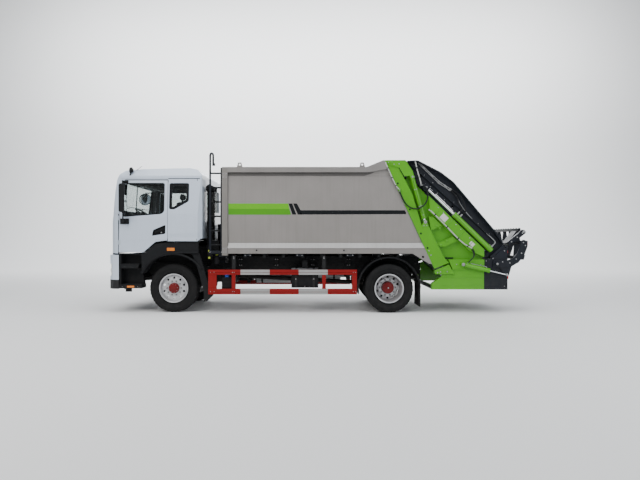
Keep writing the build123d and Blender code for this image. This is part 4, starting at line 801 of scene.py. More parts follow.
for hand, sy in (("left", -1), ("right", 1)):
    body = "door_l" if sy < 0 else "door_r"
    d = Bits()
    # black surround of the door window and its rubber
    inner = rounded(DOOR_WIN, 30)
    outer = rounded(inset(DOOR_WIN, -15), 42)
    ring_plate(d, outer, inner, sy, 1.6, 2.4, 0)
    lip_o = rounded(inset(DOOR_WIN, -6), 34)
    lip_i = rounded(inset(DOOR_WIN, 9), 24)
    ring_plate(d, lip_o, lip_i, sy, 3.0, 12.0, 1)
    # slim post of the vent line
    side_strip(d, [(-760, 2032), (-740, 2688)], 16, sy, 1.0, 10, 1)
    # pull, lock barrel and the recess rim
    recess = [(-418, 1611), (-393, 1717), (-154, 1819), (-158, 1652)]
    ring_plate(d, rounded(inset(recess, -8), 26), rounded(inset(recess, 4), 16), sy, 1.4, 4.0, 1)
    d.prism(rounded([(-376, 1652), (-352, 1700), (-186, 1774), (-186, 1722)], 12), sy * 1196, sy * 1221, 1, b=4)
    d.lathe((-232, sy * 1211, 1672), (0, sy, 0), [(0, 15), (4, 15), (6, 12), (6, 0)], 16, 2)
    # bright pressing line below the window
    side_strip(d, [(-1100, 1900), (-700, 1930), (-130, 1968)], 7, sy, 2.4, 4.0, 3)
    side_strip(d, [(-1108, 1512), (-640, 1512), (-380, 1520), (-112, 1552)], 6, sy, 1.6, 3.0, 3)
    # hinges at the front edge
    for z in (1420, 1930):
        d.cyl((-1092, sy * 1206, z), (-1092, sy * 1206, z + 92), 11, 12, 2)
    d.done("door_trim_" + hand, body, [GLOSSBLACK, PLASTIC, STEEL, WHITE])

    c = Bits()
    # black surround of the quarter window, its rubber, and the seam behind the door
    ring_plate(c, rounded(inset(QUARTER, -13), 40), rounded(QUARTER, 30), sy, 1.6, 2.4, 0)
    ring_plate(c, rounded(QUARTER, 30), rounded(inset(QUARTER, 44), 30), sy, -12.4, 1.2, 0)
    ring_plate(c, rounded(inset(QUARTER, -5), 34), rounded(inset(QUARTER, 9), 24), sy, 3.0, 10.0, 1)
    side_strip(c, [(-104, 1500), (-104, 2766)], 14, sy, 1.8, 6, 1)
    side_strip(c, [(-1000, 2771), (-104, 2771)], 13, sy, 1.8, 6, 1)
    # rain gutter, pressed ridge on the rear panel and the seam at the back
    side_strip(c, [(-1100, 2806), (-640, 2812), (560, 2812)], 11, sy, 7.0, 10, 2)
    side_strip(c, [(-86, 1600), (560, 1604)], 9, sy, 4.0, 6, 2)
    side_strip(c, [(-86, 1642), (560, 1646)], 9, sy, 4.0, 6, 2)
    side_strip(c, [(504, 1500), (504, 2796)], 10, sy, 1.8, 4, 1)
    side_strip(c, [(-104, 2796), (560, 2796)], 11, sy, 1.8, 4, 1)
    c.done("cab_side_trim_" + hand, "cab", [GLOSSBLACK, PLASTIC, WHITE, AMBER])

# roof: side lamp on its bracket with the thin aerial, roof seams, marker lamps and hatch
r = Bits()
# its bracket stands on the roof's rounded edge and carries the lamp just outside it
r.tube([(-872, -1092, 2950), (-872, -1128, 2972), (-880, -1150, 2982)], 13, 10, 0)
r.tube([(-905, -1128, 2862), (-900, -1152, 2880), (-884, -1152, 2930)], 12, 10, 0)
r.box(-925, -885, -1140, -1112, 2838, 2880, 0, b=6)
r.lathe((-866, -1152, 2968), (-1, -0.15, 0), [(-34, 22), (-26, 40), (26, 50), (42, 50), (45, 46), (46, 0)], 20, 0)
r.lathe((-908, -1158, 2968), (-1, -0.15, 0), [(0, 42), (5, 40), (8, 20), (8, 0)], 20, 2)
r.box(-900, -856, -1170, -1130, 3006, 3032, 0, b=6)
r.tube([(-800, -1084, 2972), (-740, -1090, 3012), (-672, -1096, 3062)], 4.5, 8, 0)
for y in (-820, -410, 0, 410, 820):
    r.box(-1085, -1020, y - 58, y + 58, 2950, 2985, 0, b=8)
    r.box(-1092, -1050, y - 46, y + 46, 2953, 2976, 3, b=8)
for y in (-700, 700):
    r.box(-560, 420, y - 12, y + 12, 3002, 3024, 1, b=8)
r.box(-420, 180, -330, 330, 3008, 3036, 1, b=14)
r.box(-400, 160, -310, 310, 3034, 3042, 1, b=6)
for x in (-380, 120):
    r.box(x, x + 26, -60, 60, 3040, 3050, 0, b=3)
r.done("roof_fittings", "cab", [PLASTIC, WHITE, STEEL, AMBER])

# front: windscreen surround, wipers, grille bars, badge-free panel, steps in the bumper
f = Bits()
zz = [2096, 2150, 2750, 2800]
def scr(y, z, off):
    x = cab_front_x(z)
    k = max(0.0, abs(y) - 900) / 315
    return (x + 46 * k * k * 2.2 - off, y, z)
outer = [(-1120, 2110), (1120, 2110), (1108, 2762), (-1108, 2762)]
# lower and upper black bands of the windscreen
def band_rows(z0, z1, y0, y1, off, n=24):
    top = [scr(y0 + (y1 - y0) * i / n, z1, off) for i in range(n + 1)]
    bot = [scr(y0 + (y1 - y0) * i / n, z0, off) for i in range(n + 1)]
    return [bot, top]
for z0, z1 in ((2092, 2156), (2744, 2800)):
    f.slab(band_rows(z0, z1, -1070, 1070, 3), band_rows(z0, z1, -1070, 1070, -3), 0)
for s in (-1, 1):
    go = [[scr(s * (1040 + 44 * j), 2150 + 100 * i, 3) for j in range(2)] for i in range(7)]
    gi = [[scr(s * (1040 + 44 * j), 2150 + 100 * i, -3) for j in range(2)] for i in range(7)]
    f.slab(go, gi, 0)
# wipers
for y0, y1, z1 in ((-760, -120, 2250), (80, 700, 2250), (-60, 0, 2180)):
    a = Vector(scr(y0, 2100, 16))
    b = Vector(scr(y1, z1, 16))
    f.lathe(Vector(scr(y0, 2092, -4)), (-1, 0, 0.15), [(0, 22), (18, 20), (26, 12), (26, 0)], 14, 0)
    if abs(y1 - y0) > 100:
        f.tube([a, (a + b) / 2 + Vector((-10, 0, 10)), b], 6, 8, 0)
        m = b
        f.sweep([m + Vector((-2, -330, 4)), m + Vector((-4, 0, 6)), m + Vector((-2, 330, 4))], 7, 8, 0)
# raised blank nameplate bar over the grille, chrome lines
for z, h, mat in ((1694, 18, 2), (1320, 16, 2)):
    f.box(-1352, -1334, -720, 720, z, z + h, mat, b=5)
f.box(-1352, -1336, -560, 560, 1760, 1960, 1, b=12)
f.box(-1355, -1350, -520, 520, 1790, 1930, 3, b=4)
# grille: honeycomb rows between the bars
for row in range(8):
    for col in range(36):
        y = -740 + col * 42 + (21 if row % 2 else 0)
        z = 1348 + row * 36
        if y > 745:
            continue
        f.lathe((-1316, y, z), (-1, 0, 0), [(0, 17), (5, 17), (6, 15)], 6, 0, smooth=False, phase=0.5)
# handles under the windscreen, hinge covers of the front flap
for s in (-1, 1):
    f.tube([(-1300, s * 800, 2010), (-1344, s * 800, 2014), (-1344, s * 560, 2014), (-1300, s * 560, 2010)], 10, 10, 1)
f.done("cab_front_trim", "cab", [PLASTIC, WHITE, CHROME, GLOSSBLACK])

# bumper: step grips, fog lamps, number plate left blank, seams; towing-eye cover
b = Bits()
for s in (-1, 1):
    b.box(-1398, -1376, s * 560, s * 680, 560, 650, 0, b=6)
    b.lathe((-1386, s * 620, 604), (-1, 0, 0), [(0, 38), (8, 38), (12, 34), (14, 30), (15, 0)], 22, 3)
    for k in range(4):
        b.box(-1400, -1393, s * 600 - 120, s * 600 + 120, 1088 + 22 * k, 1098 + 22 * k, 0, b=2)
    # lamp units: bezels, projector, high beam, turn lamp, day lamp strip
    b.lathe((-1366, s * 850, 890), (-1, 0, 0), [(0, 82), (10, 82), (12, 72), (2, 66), (-1, 50), (4, 30), (10, 0)], 28, 1)
    b.lathe((-1312, s * 1010, 880), (-1, -s * 0.4, 0), [(0, 66), (10, 66), (12, 58), (2, 52), (-1, 38), (4, 24), (8, 0)], 26, 1)
    b.box(-1374, -1360, s * 800, s * 960, 980, 1000, 1, b=4)
b.box(-1404, -1396, -260, 260, 700, 840, 3, b=3)
b.box(-1408, -1403, -250, 250, 708, 832, 4, b=2)
b.done("bumper_fittings", "chassis", [PLASTIC, LENS, AMBER, CHROME, PLATE])

# steps: grip ribs and the amber side reflector, which takes the lamp amber and so glows faintly as painted light
s_ = Bits()
for s in (-1, 1):
    for z, x0, x1 in ((592, -1062, -656), (1018, -1062, -700)):
        for k in range(9):
            y = 965 + 26 * k
            s_.box(x0, x1, s * y, s * (y + 9), z - 2, z + 6, 0, b=2)
    # the reflector in the lamp amber: its emission is a painted glow
    s_.box(-940, -793, s * 1222, s * 1231, 528, 566, 1, b=3)
    s_.box(-948, -785, s * 1218, s * 1226, 520, 574, 0, b=3)
    for x in (-1040, -880, -720):
        s_.hexnut((x, s * 1222, 545), (0, s, 0), 7, 6, 2, stud=False)
s_.done("step_fittings", "chassis", [PLASTIC, AMBER, STEEL])

# mirrors: glass, housing rim, swivel boots
for hand, sy in (("left", -1), ("right", 1)):
    m = Bits()
    # mirror glass faces back: an upper tall glass and a lower wide one
    for z0, z1 in ((2320, 2640), (2115, 2300)):
        m.box(-927, -920, sy * 1282, sy * 1428, z0, z1, 1, b=3)
        m.box(-931, -923, sy * 1274, sy * 1436, z0 - 8, z1 + 8, 0, b=4)
    m.box(-1037, -1027, sy * 1290, sy * 1420, 2130, 2620, 0, b=5)
    for z in (2400, 2520):
        m.box(-1041, -1035, sy * 1300, sy * 1410, z, z + 14, 0, b=3)
    m.ball((-979, sy * 1355, 2722), 21, 12, 0)
    m.ball((-979, sy * 1355, 1894), 21, 12, 0)
    m.lathe((-979, sy * 1355, 2668), (0, 0, 1), [(0, 24), (20, 20), (26, 15)], 16, 0)
    m.lathe((-979, sy * 1355, 2087), (0, 0, -1), [(0, 24), (20, 20), (26, 15)], 16, 0)
    if sy > 0:
        a = Vector((0.35, -0.9, -0.25)).normalized()
        m.lathe(Vector((-1400, 1310, 2540)) + a * 2, a, [(-10, 149), (0, 150), (3, 146), (1, 140)], 36, 0)
        m.lathe(Vector((-1400, 1310, 2540)) + a * 1, a, [(0, 140), (8, 110), (12, 60), (13, 0)], 36, 1)
    m.done("mirror_fittings_" + hand, "door_l" if sy < 0 else "door_r", [PLASTIC, MIRROR])

# -------------------------------------------------------------- the load body
def body_y(z):
    """Outer face of the bulged side panel."""
    rows = [(1339, 1238), (1459, 1208), (1900, 1218), (2250, 1219), (2845, 1208), (3160, 1208)]
    for (z0, y0), (z1, y1) in zip(rows, rows[1:]):
        if z <= z1:
            return y0 + (y1 - y0) * max(0.0, z - z0) / (z1 - z0)
    return 1208


def rear_edge(z, off=0.0):
    return 4406.0 + (3153.0 - z) * (5454.0 - 4406.0) / (3153.0 - 874.0) + off


def decal(bits, pts, sy, mat, out=1.6, cuts=()):
    """Thin painted film with this outline (x, z) on the bulged side; it is cut at the panel's own bends."""
    levels = sorted({z for _, z in pts} | {z for z in (1900, 2250) if min(p[1] for p in pts) < z < max(p[1] for p in pts)})
    for z0, z1 in zip(levels, levels[1:]):
        def span(z, other):
            xs = []
            n = len(pts)
            for i in range(n):
                (xa, za), (xb, zb) = pts[i], pts[(i + 1) % n]
                if min(za, zb) <= z <= max(za, zb) and za != zb:
                    t = (z - za) / (zb - za)
                    xs.append(xa + (xb - xa) * t)
                elif za == zb == z:
                    xs.extend([xa, xb])
            return min(xs), max(xs)
        e = 0.01
        a0, a1 = span(z0 + e, z1)
        b0, b1 = span(z1 - e, z0)
        y0, y1 = body_y(z0), body_y(z1)
        go = [[(a0, sy * (y0 + out), z0), (a1, sy * (y0 + out), z0)], [(b0, sy * (y1 + out), z1), (b1, sy * (y1 + out), z1)]]
        gi = [[(a0, sy * (y0 - 1), z0), (a1, sy * (y0 - 1), z0)], [(b0, sy * (y1 - 1), z1), (b1, sy * (y1 - 1), z1)]]
        bits.slab(go, gi, mat, False)


for hand, sy in (("left", -1), ("right", 1)):
    g = Bits()
    # two-tone green stripe, its slashes and the thin black line
    decal(g, [(1163, 2160), (2430, 2160), (2404, 2271), (1163, 2271)], sy, 0)
    decal(g, [(1163, 2041), (2462, 2041), (2430, 2160), (1163, 2160)], sy, 1)
    decal(g, [(2410, 2272), (2487, 2272), (2571, 2044), (2492, 2044)], sy, 2)
    decal(g, [(2507, 2272), (2584, 2272), (2661, 2131), (2692, 2044), (2604, 2044)], sy, 2)
    decal(g, [(2650, 2044), (4850, 2052), (4850, 2090), (4822, 2131), (2656, 2131)], sy, 2)
    g.done("stripe_" + hand, "chassis", [GREEN_L, GREEN_D, GLOSSBLACK])

    t = Bits()
    # panel frame: seams where the bulged sheet is welded to posts and rails
    for z, x0, x1, y in ((1459, 1152, rear_edge(1459, -6), 1208), (2845, 1152, rear_edge(2845, -6), 1208),
                         (1343, 1152, rear_edge(1343, -6), 1238)):
        t.cyl((x0, sy * (y + 0.5), z), (x1, sy * (y + 0.5), z), 4.5, 8, 0)
    t.cyl((1153, sy * 1222, 1345), (1153, sy * 1222, 2915), 5, 8, 0)
    # weld beads down the posts, small holes and plugs along the lower rail
    for x in (1750, 3561):
        t.cyl((x, sy * 1228, 1300), (x, sy * 1244, 1300), 16, 18, 1)
    # small plates of the floor's cross members under the rail
    for x in (1560, 2640, 3690):
        t.box(x - 82, x + 82, sy * 1180, sy * 1198, 1178, 1216, 4, b=3)
        for dx in (-52, 52):
            t.hexnut((x + dx, sy * 1198, 1197), (0, sy, 0), 9, 8, 2, stud=False)
    # corner gussets of the front post
    for z in (1240, 2790):
        t.box(1036, 1146, sy * 1249, sy * 1254, z, z + 120, 0, b=2)
        for dx, dz in ((22, 24), (88, 24), (22, 96), (88, 96)):
            t.hexnut((1036 + dx, sy * 1254, z + dz), (0, sy, 0), 8, 6, 2, stud=False)
    # dark strip of painted shade in the recess between the panel and the top rail
    t.box(1156, 3996, sy * 1207, sy * 1213, 2852, 2916, 5, b=2)
    t.prism([(3996, 2852), (4120, 2888), (4190, 2922), (3996, 2916)], min(sy * 1207, sy * 1213), max(sy * 1207, sy * 1213), 5, b=0.5)
    # rain strip above the panel
    t.box(1152, 4050, sy * 1246, sy * 1256, 2917, 2925, 0, b=2)
    t.done("body_trim_" + hand, "chassis", [WARM_TRIM, PLASTIC, STEEL, AMBER, NAVY, WARM_SHADE])

# roof: cross ribs and seams, front wall's frame, inside light, walkway grips
b = Bits()
for k in range(10):
    x = 1250 + 290 * k
    b.box(x - 22, x + 22, -1195, 1195, 3024, 3036, 0, b=4)
for y in (-1160, 1160):
    b.box(1100, 4000, y - 14, y + 14, 3026, 3034, 0, b=3)
for y in (-700, -240, 240, 700):
    for z in (1300, 2940):
        b.hexnut((1018, y, z), (-1, 0, 0), 9, 7, 1, stud=False)
b.box(1020, 1034, -900, 900, 1990, 2050, 0, b=4)
b.box(1022, 1034, -120, 120, 2960, 2990, 0, b=3)
for y in (-420, 420):
    b.box(1012, 1026, y - 60, y + 60, 2900, 2960, 2, b=5)
    b.box(1004, 1014, y - 52, y + 52, 2906, 2954, 3, b=5)
b.done("body_roof_ribs", "chassis", [WARM_TRIM, STEEL, PLASTIC, LENS])

# ------------------------------------------------------------------- ladder
l = Bits()
for z in (1411, 1711, 2011, 2311, 2611, 2911):
    l.cyl((786, -1120, z), (980, -1120, z), 17.5, 14, 1)
    for k in range(9):
        l.lathe((794 + 21 * k, -1120, z), (1, 0, 0), [(0, 18), (4, 19.2), (9, 18)], 14, 1)
for z in (1500, 2250, 2930):
    l.box(752, 776, -1140, -1100, z - 22, z + 22, 0, b=5)
    l.box(988, 1034, -1132, -1108, z - 18, z + 18, 0, b=4)
    l.hexnut((1012, -1132, z), (0, -1, 0), 8, 7, 2)
for x in (762, 1008):
    for y in (-1141,):
        l.hexnut((x, y, 1260), (0, -1, 0), 10, 8, 2)
l.cyl((845, -1120, 3070), (845, -1120, 3120), 25, 14, 1)
l.done("ladder_fittings", "chassis", [NAVY, PLASTIC, STEEL])

# ------------------------------------ air intake, hoses and valves behind the cab
a = Bits()
for k in range(30):
    z = 1540 + 33 * k
    a.box(648, 768, -908, -612, z, z + 14, 0, b=5)
for k in range(7):
    a.box(632, 808, -948, -572, 2566 + 14 * k, 2572 + 14 * k, 0, b=2)
# ribbed bellows down to the hose box
line = [Vector((720, -760, 1560)), Vector((730, -770, 1450)), Vector((760, -790, 1330)), Vector((800, -820, 1240)), Vector((820, -840, 1190))]
a.sweep(smooth_line(line, 14), 80, 24, 0, 0.07, 24)
for z in (1515, 1250):
    a.lathe((742, -775, z), (0.1, -0.1, 1), [(-8, 86), (-8, 90), (8, 90), (8, 86)], 24, 1)
# small items with yellow-green caps, bottles and a filter
for z in (1118, 1262):
    a.lathe((728, -1040, z), (0, 0, 1), [(0, 20), (5, 24), (34, 24), (38, 18), (44, 15)], 18, 2)
    a.box(700, 756, -1030, -1010, z - 10, z + 70, 0, b=3)
a.box(690, 780, -1012, -990, 1100, 1380, 0, b=4)
a.lathe((880, -980, 1000), (0, 0, 1), [(0, 52), (8, 58), (150, 58), (160, 50), (190, 30)], 22, 0)
a.lathe((880, -980, 1188), (0, 0, 1), [(0, 30), (14, 30), (18, 22)], 16, 2)
a.done("intake_details", "chassis", [PLASTIC, STEEL, YELLOWGREEN])

h = Bits()
# coiled air lines and pipes between the cab and the load body
for k, (y0, z0, z1) in enumerate(((-520, 1460, 1200), (-470, 1500, 1180), (-420, 1430, 1220), (-560, 1380, 1160))):
    h.tube([(640, y0, z0), (690, y0 - 20, z0 - 80), (720, y0 + 10, (z0 + z1) / 2), (780, y0 + 30, z1), (860, y0 + 40, z1 - 60), (960, y0 + 60, z1 - 90)],
           11 + 2 * (k % 2), 10, 0)
for y, r in ((-340, 17), (-280, 17), (-220, 14)):
    h.tube([(800, y, 1420), (800, y, 1520), (840, y - 10, 1620), (930, y - 20, 1660), (1010, y - 20, 1668)], r, 12, 0)
    h.lathe((800, y, 1416), (0, 0, 1), [(0, r + 8), (22, r + 8), (24, r + 3)], 6, 1, smooth=False)
for y in (200, 420, 640, 860):
    h.box(686, 694, y - 12, y + 12, 1180, 1860, 2, b=3)
h.lathe((830, 300, 1880), (0, 0, 1), [(0, 62), (10, 62), (12, 52), (44, 52), (52, 44), (54, 0)], 26, 2)
h.lathe((830, 760, 1880), (0, 0, 1), [(0, 80), (8, 80), (10, 60), (90, 60), (100, 50), (102, 0)], 26, 1)
h.box(684, 691, 500, 560, 1300, 1740, 3, b=3)
for z in (1330, 1710):
    h.hexnut((684, 530, z), (-1, 0, 0), 12, 10, 1)
for y in (-390, -310, -230, -150, -90):
    h.box(728, 880, y - 22, y + 22, 1420, 1466, 1, b=5)
    h.lathe((804, y, 1466), (0, 0, 1), [(0, 12), (30, 12), (32, 16), (40, 16), (42, 8)], 12, 2)
h.done("hydraulic_lines", "chassis", [HOSE, STEEL, NAVY, LENS])

# centre rails that close the view between the frame and the cab and the floor
k_ = Bits()
k_.box(1100, 4260, -40, 40, 1128, 1234, 0, b=4)
k_.box(-150, 690, -30, 30, 1425, 1494, 0, b=4)
for s in (-1, 1):
    k_.box(-1262, -560, s * 1146, s * 1160, 1212, 1240, 0, b=2)
    k_.box(150, 560, s * 1146, s * 1160, 1458, 1495, 0, b=2)
k_.done("centre_rails", "chassis", [BLACK])

# ---------------------------------------------------------------- side guards
for hand, sy in (("left", -1), ("right", 1)):
    g = Bits()
    rows = [(743, 1415, 0), (1415, 2021, 1), (2021, 2622, 0), (2622, 3225, 1), (3225, 3831, 0)]
    for z0, z1 in ((793, 899), (387, 501)):
        for x0, x1, mat in rows:
            # the rail's folded section: raised edges and two grooves
            for a0, a1, out in ((0.0, 0.40, 1235.5), (0.46, 1.0, 1240.0)):
                g.box(x0 + 0.5, x1 - 0.5, sy * 1226, sy * out, z0 + (z1 - z0) * a0, z0 + (z1 - z0) * a1, mat, b=1.5)
    for x0, x1 in ((743, 918), (1230, 1307), (3107, 3186), (3727, 3831)):
        g.box(x0 + 3, x1 - 3, sy * 1224, sy * 1229, 502, 792, 0, b=2)
        for z in (446, 846):
            for dx in (0.28, 0.72):
                g.hexnut((x0 + (x1 - x0) * dx, sy * 1234, z), (0, sy, 0), 8, 7, 2)
    for x in (1268, 3146):
        for z in (1130, 1160):
            g.hexnut((x, sy * 1188, z), (0, sy, 0), 10, 8, 2)
    g.done("guard_paint_" + hand, "chassis", [GUARDRED, GUARDWHITE, STEEL])

# ------------------------------------------------------ tanks, straps and caps
t = Bits()
for x in (2560, 2932):
    t.box(x - 24, x + 24, -1146, -1138, 530, 880, 1, b=3)
    t.box(x - 24, x + 24, -1100, -600, 912, 922, 1, b=3)
    t.tube([(x, -1142, 870), (x, -1134, 900), (x, -1110, 917), (x, -1060, 920)], 7, 8, 1)
    t.hexnut((x, -1146, 700), (0, -1, 0), 12, 12, 2)
t.lathe((2747, -1030, 1060), (0, 0, 1), [(0, 50), (6, 56), (26, 56), (34, 46), (36, 0)], 26, 0)
for k in range(8):
    g = radians(45 * k)
    t.cyl((2747 + 56 * cos(g), -1030 + 56 * sin(g), 1066), (2747 + 56 * cos(g), -1030 + 56 * sin(g), 1088), 6, 8, 0)
t.box(2600, 2640, -1144, -1139, 560, 860, 0, b=2)
for z in (545, 867):
    t.hexnut((2747, -1142, z), (0, -1, 0), 8, 8, 2)
# reagent tank: moulded ribs, pump and blue cap
for z in (530, 600, 670):
    t.box(1006, 1228, -1146, -1000, z, z + 16, 0, b=4)
t.lathe((1111, -1090, 769), (0, 0, 1), [(-20, 46), (0, 46), (4, 42), (26, 42), (30, 34), (32, 0)], 26, 4)
for k in range(10):
    g = radians(36 * k)
    t.cyl((1111 + 43 * cos(g), -1090 + 43 * sin(g), 770), (1111 + 43 * cos(g), -1090 + 43 * sin(g), 794), 4, 8, 4)
t.box(1012, 1060, -1110, -1040, 736, 800, 0, b=5)
t.tube([(1036, -1070, 800), (1030, -1040, 860), (1060, -960, 900), (1120, -800, 905), (1200, -640, 900)], 10, 10, 5)
# air tanks: end domes, straps, drain valves
for z in (560, 790):
    for x in (1500, 2500):
        s = -1 if x == 1500 else 1
        t.lathe((x, 900, z), (s, 0, 0), [(-2, 104), (14, 99), (28, 84), (38, 58), (43, 28), (44, 0)], 30, 1)
        t.lathe((x + s * 40, 900, z), (s, 0, 0), [(0, 18), (12, 18), (14, 12), (20, 12), (20, 0)], 6, 2, smooth=False)
    for x in (1640, 2360):
        t.lathe((x - 20, 900, z), (1, 0, 0), [(0, 105), (0, 109), (40, 109), (40, 105)], 32, 1)
# battery box: lid with ribs and latches
for k in range(6):
    t.box(1010, 1410, 1146, 1156, 560 + 50 * k, 574 + 50 * k, 0, b=4)
t.box(996, 1424, 696, 1154, 874, 892, 0, b=6)
for x in (1080, 1340):
    t.box(x - 14, x + 14, 1150, 1162, 800, 880, 2, b=3)
t.done("tank_fittings", "chassis", [PLASTIC, BLACK, STEEL, LENS, CAPBLUE, HOSE])

# muffler: end flanges, straps, heat shield and tail pipe mouth
m = Bits()
for x in (2780, 3560):
    m.lathe((x - 6, 820, 640), (1, 0, 0), [(0, 146), (0, 156), (12, 156), (12, 146)], 32, 0)
for x in (2925, 3405):
    m.lathe((x - 22, 820, 640), (1, 0, 0), [(0, 150), (0, 155), (44, 155), (44, 150)], 32, 1)
m.lathe((3712, 820, 640), (1, 0, 0), [(-10, 52), (8, 52), (8, 44), (-60, 44), (-60, 0)], 24, 0)
m.tube([(2780, 820, 660), (2700, 810, 680), (2560, 760, 720), (2300, 660, 780), (2000, 560, 800), (1500, 520, 800), (1000, 500, 800), (500, 380, 820)], 42, 14, 0)
m.done("exhaust_details", "chassis", [TANKGREY, BLACK])

# --------------------------------------------------------- frame and axles
c = Bits()
for sy in (-1, 1):
    for x in range(900, 5200, 150):
        c.lathe((x, sy * 430, 960), (0, sy, 0), [(0, 13), (6, 12), (9, 8), (10, 0)], 10, 0)
        c.lathe((x, sy * 430, 800), (0, sy, 0), [(0, 13), (6, 12), (9, 8), (10, 0)], 10, 0)
    for x in (1300, 2100, 2900, 3700, 4400):
        c.box(x - 50, x + 50, sy * 430, sy * 446, 930, 1110, 0, b=4)
        for z in (955, 1085):
            c.hexnut((x - 24, sy * 446, z), (0, sy, 0), 11, 10, 1)
            c.hexnut((x + 24, sy * 446, z), (0, sy, 0), 11, 10, 1)
    # spring leaves, U-bolts and dampers
    for x, zc, w in ((0.0, 560, 70), (WB, 600, 74)):
        for dx in (-46, 46):
            for y in (350, 436):
                c.cyl((x + dx, sy * y, zc - 90), (x + dx, sy * y, zc + 128), 9, 8, 0)
                c.hexnut((x + dx, sy * y, zc - 86), (0, 0, -1), 14, 14, 1, stud=False)
            c.cyl((x + dx, sy * 350, zc + 128), (x + dx, sy * 436, zc + 128), 9, 8, 0)
    c.cyl((-260, sy * 470, 470), (-330, sy * 470, 930), 32, 16, 0)
    c.cyl((-240, sy * 470, 400), (-262, sy * 470, 480), 22, 14, 1)
    # brake chambers at the rear axle
    c.lathe((WB - 190, sy * 560, 560), (-1, 0, 0.1), [(0, 74), (10, 82), (70, 82), (78, 74), (84, 60), (150, 60), (160, 40), (162, 0)], 24, 0)
    c.lathe((WB - 150, sy * 560, 556), (-1, 0, 0.1), [(0, 14), (42, 14)], 10, 1)
# differential ribs, cover bolts, shaft flanges, axle breather
for k in range(12):
    g = radians(30 * k)
    c.hexnut((WB + 165 * cos(g), -150, 506 + 165 * sin(g)), (0, -1, 0), 10, 9, 1, stud=False)
    c.hexnut((WB + 165 * cos(g), 150, 506 + 165 * sin(g)), (0, 1, 0), 10, 9, 1, stud=False)
p0, p1 = Vector((WB - 190, 0, 520)), Vector((1186, 0, 690))
d = (p1 - p0).normalized()
for t0 in (30, 180, 1500, 1560, 2900):
    c.lathe(p0 + d * t0, d, [(0, 50), (4, 78), (26, 78), (30, 50)], 24, 0)
c.done("chassis_fittings", "chassis", [BLACK, STEEL])

# rear fenders: ribs, edge beads and flap ribs
f = Bits()
for sy in (-1, 1):
    for k in range(29):
        g = radians(4 + 6.4 * k)
        x, z = WB + 660 * cos(g), 506 + 660 * sin(g)
        f.lathe((x, sy * 662, z), (0, sy, 0), [(0, 6), (0, 9), (540, 9), (540, 6)], 8, 0)
    line = [Vector((WB + 648 * cos(radians(4 * i)), sy * 1212, 506 + 648 * sin(radians(4 * i)))) for i in range(0, 48)]
    f.sweep(line, 13, 10, 0)
    for k in range(9):
        f.box(5150, 5157, sy * (690 + 60 * k), sy * (712 + 60 * k), 160, 640, 0, b=3)
    f.box(5118, 5156, sy * 640, sy * 1215, 664, 690, 1, b=4)
    for k in range(5):
        f.hexnut((5156, sy * (700 + 110 * k), 677), (1, 0, 0), 9, 7, 1, stud=False)
f.done("fender_ribs", "chassis", [PLASTIC, STEEL])

# front fenders: edge lips and splash ribs
f = Bits()
for sy in (-1, 1):
    line = [Vector((-640, sy * 1216, 925)), Vector((-606, sy * 1216, 905)), Vector((-560, sy * 1216, 992)), Vector((-470, sy * 1216, 1074)),
            Vector((-300, sy * 1216, 1166)), Vector((-120, sy * 1216, 1244)), Vector((120, sy * 1216, 1246)), Vector((300, sy * 1216, 1246)), Vector((535, sy * 1216, 1246))]
    f.sweep(smooth_line(line, 4), 11, 10, 0)
    f.box(-150, 538, sy * 1214, sy * 1224, 1440, 1458, 0, b=4)
    f.box(60, 530, sy * 1214, sy * 1223, 1300, 1312, 0, b=3)
    for k in range(7):
        f.box(642, 662, sy * (930 + 26 * k), sy * (940 + 26 * k), 300, 760, 0, b=3)
    for x in (90, 280, 480):
        f.hexnut((x, sy * 1218, 1400), (0, sy, 0), 9, 5, 0, stud=False)
    # marker lamp over the wheel arch
    f.box(-112, 46, sy * 1215, sy * 1233, 1290, 1352, 2, b=8)
    f.box(-120, 54, sy * 1212, sy * 1222, 1280, 1362, 0, b=4)
f.done("front_fender_lips", "chassis", [PLASTIC, STEEL, AMBER])

# ------------------------------------------------------- rear frame and tailgate
def on_slope(s, n, y):
    x, z = slope(s, n)
    return (x, y, z)


TURN_S = turn_y(44.0)    # a block's own x axis turned down the slide


def slope_box(bits, s0, s1, n0, n1, y0, y1, mat, b=2.0):
    cx, cz = slope((s0 + s1) / 2, (n0 + n1) / 2)
    w, h = (s1 - s0) / 2, (n1 - n0) / 2
    bits.box(cx - w, cx + w, y0, y1, cz - h, cz + h, mat, b=b, turn=TURN_S)


def nurbs_line(name, pts):
    """Points of the route's own NURBS line, in table millimetres."""
    cu = bpy.data.curves.new(name, "CURVE")
    cu.dimensions = "3D"
    cu.resolution_u = 8
    sp = cu.splines.new("NURBS")
    sp.points.add(len(pts) - 1)
    for q, p in zip(sp.points, pts):
        q.co = (*P(*p), 1.0)
    sp.order_u = 3
    sp.use_endpoint_u = True
    tmp = bpy.data.objects.new(name, cu)
    SCENE.collection.objects.link(tmp)
    bpy.context.view_layer.update()
    me = bpy.data.meshes.new_from_object(tmp.evaluated_get(bpy.context.evaluated_depsgraph_get()))
    line = [Vector(((v.co.x - AX) * 1000, v.co.y * 1000, v.co.z * 1000)) for v in me.vertices]
    bpy.data.objects.remove(tmp)
    bpy.data.curves.remove(cu)
    bpy.data.meshes.remove(me)
    return line


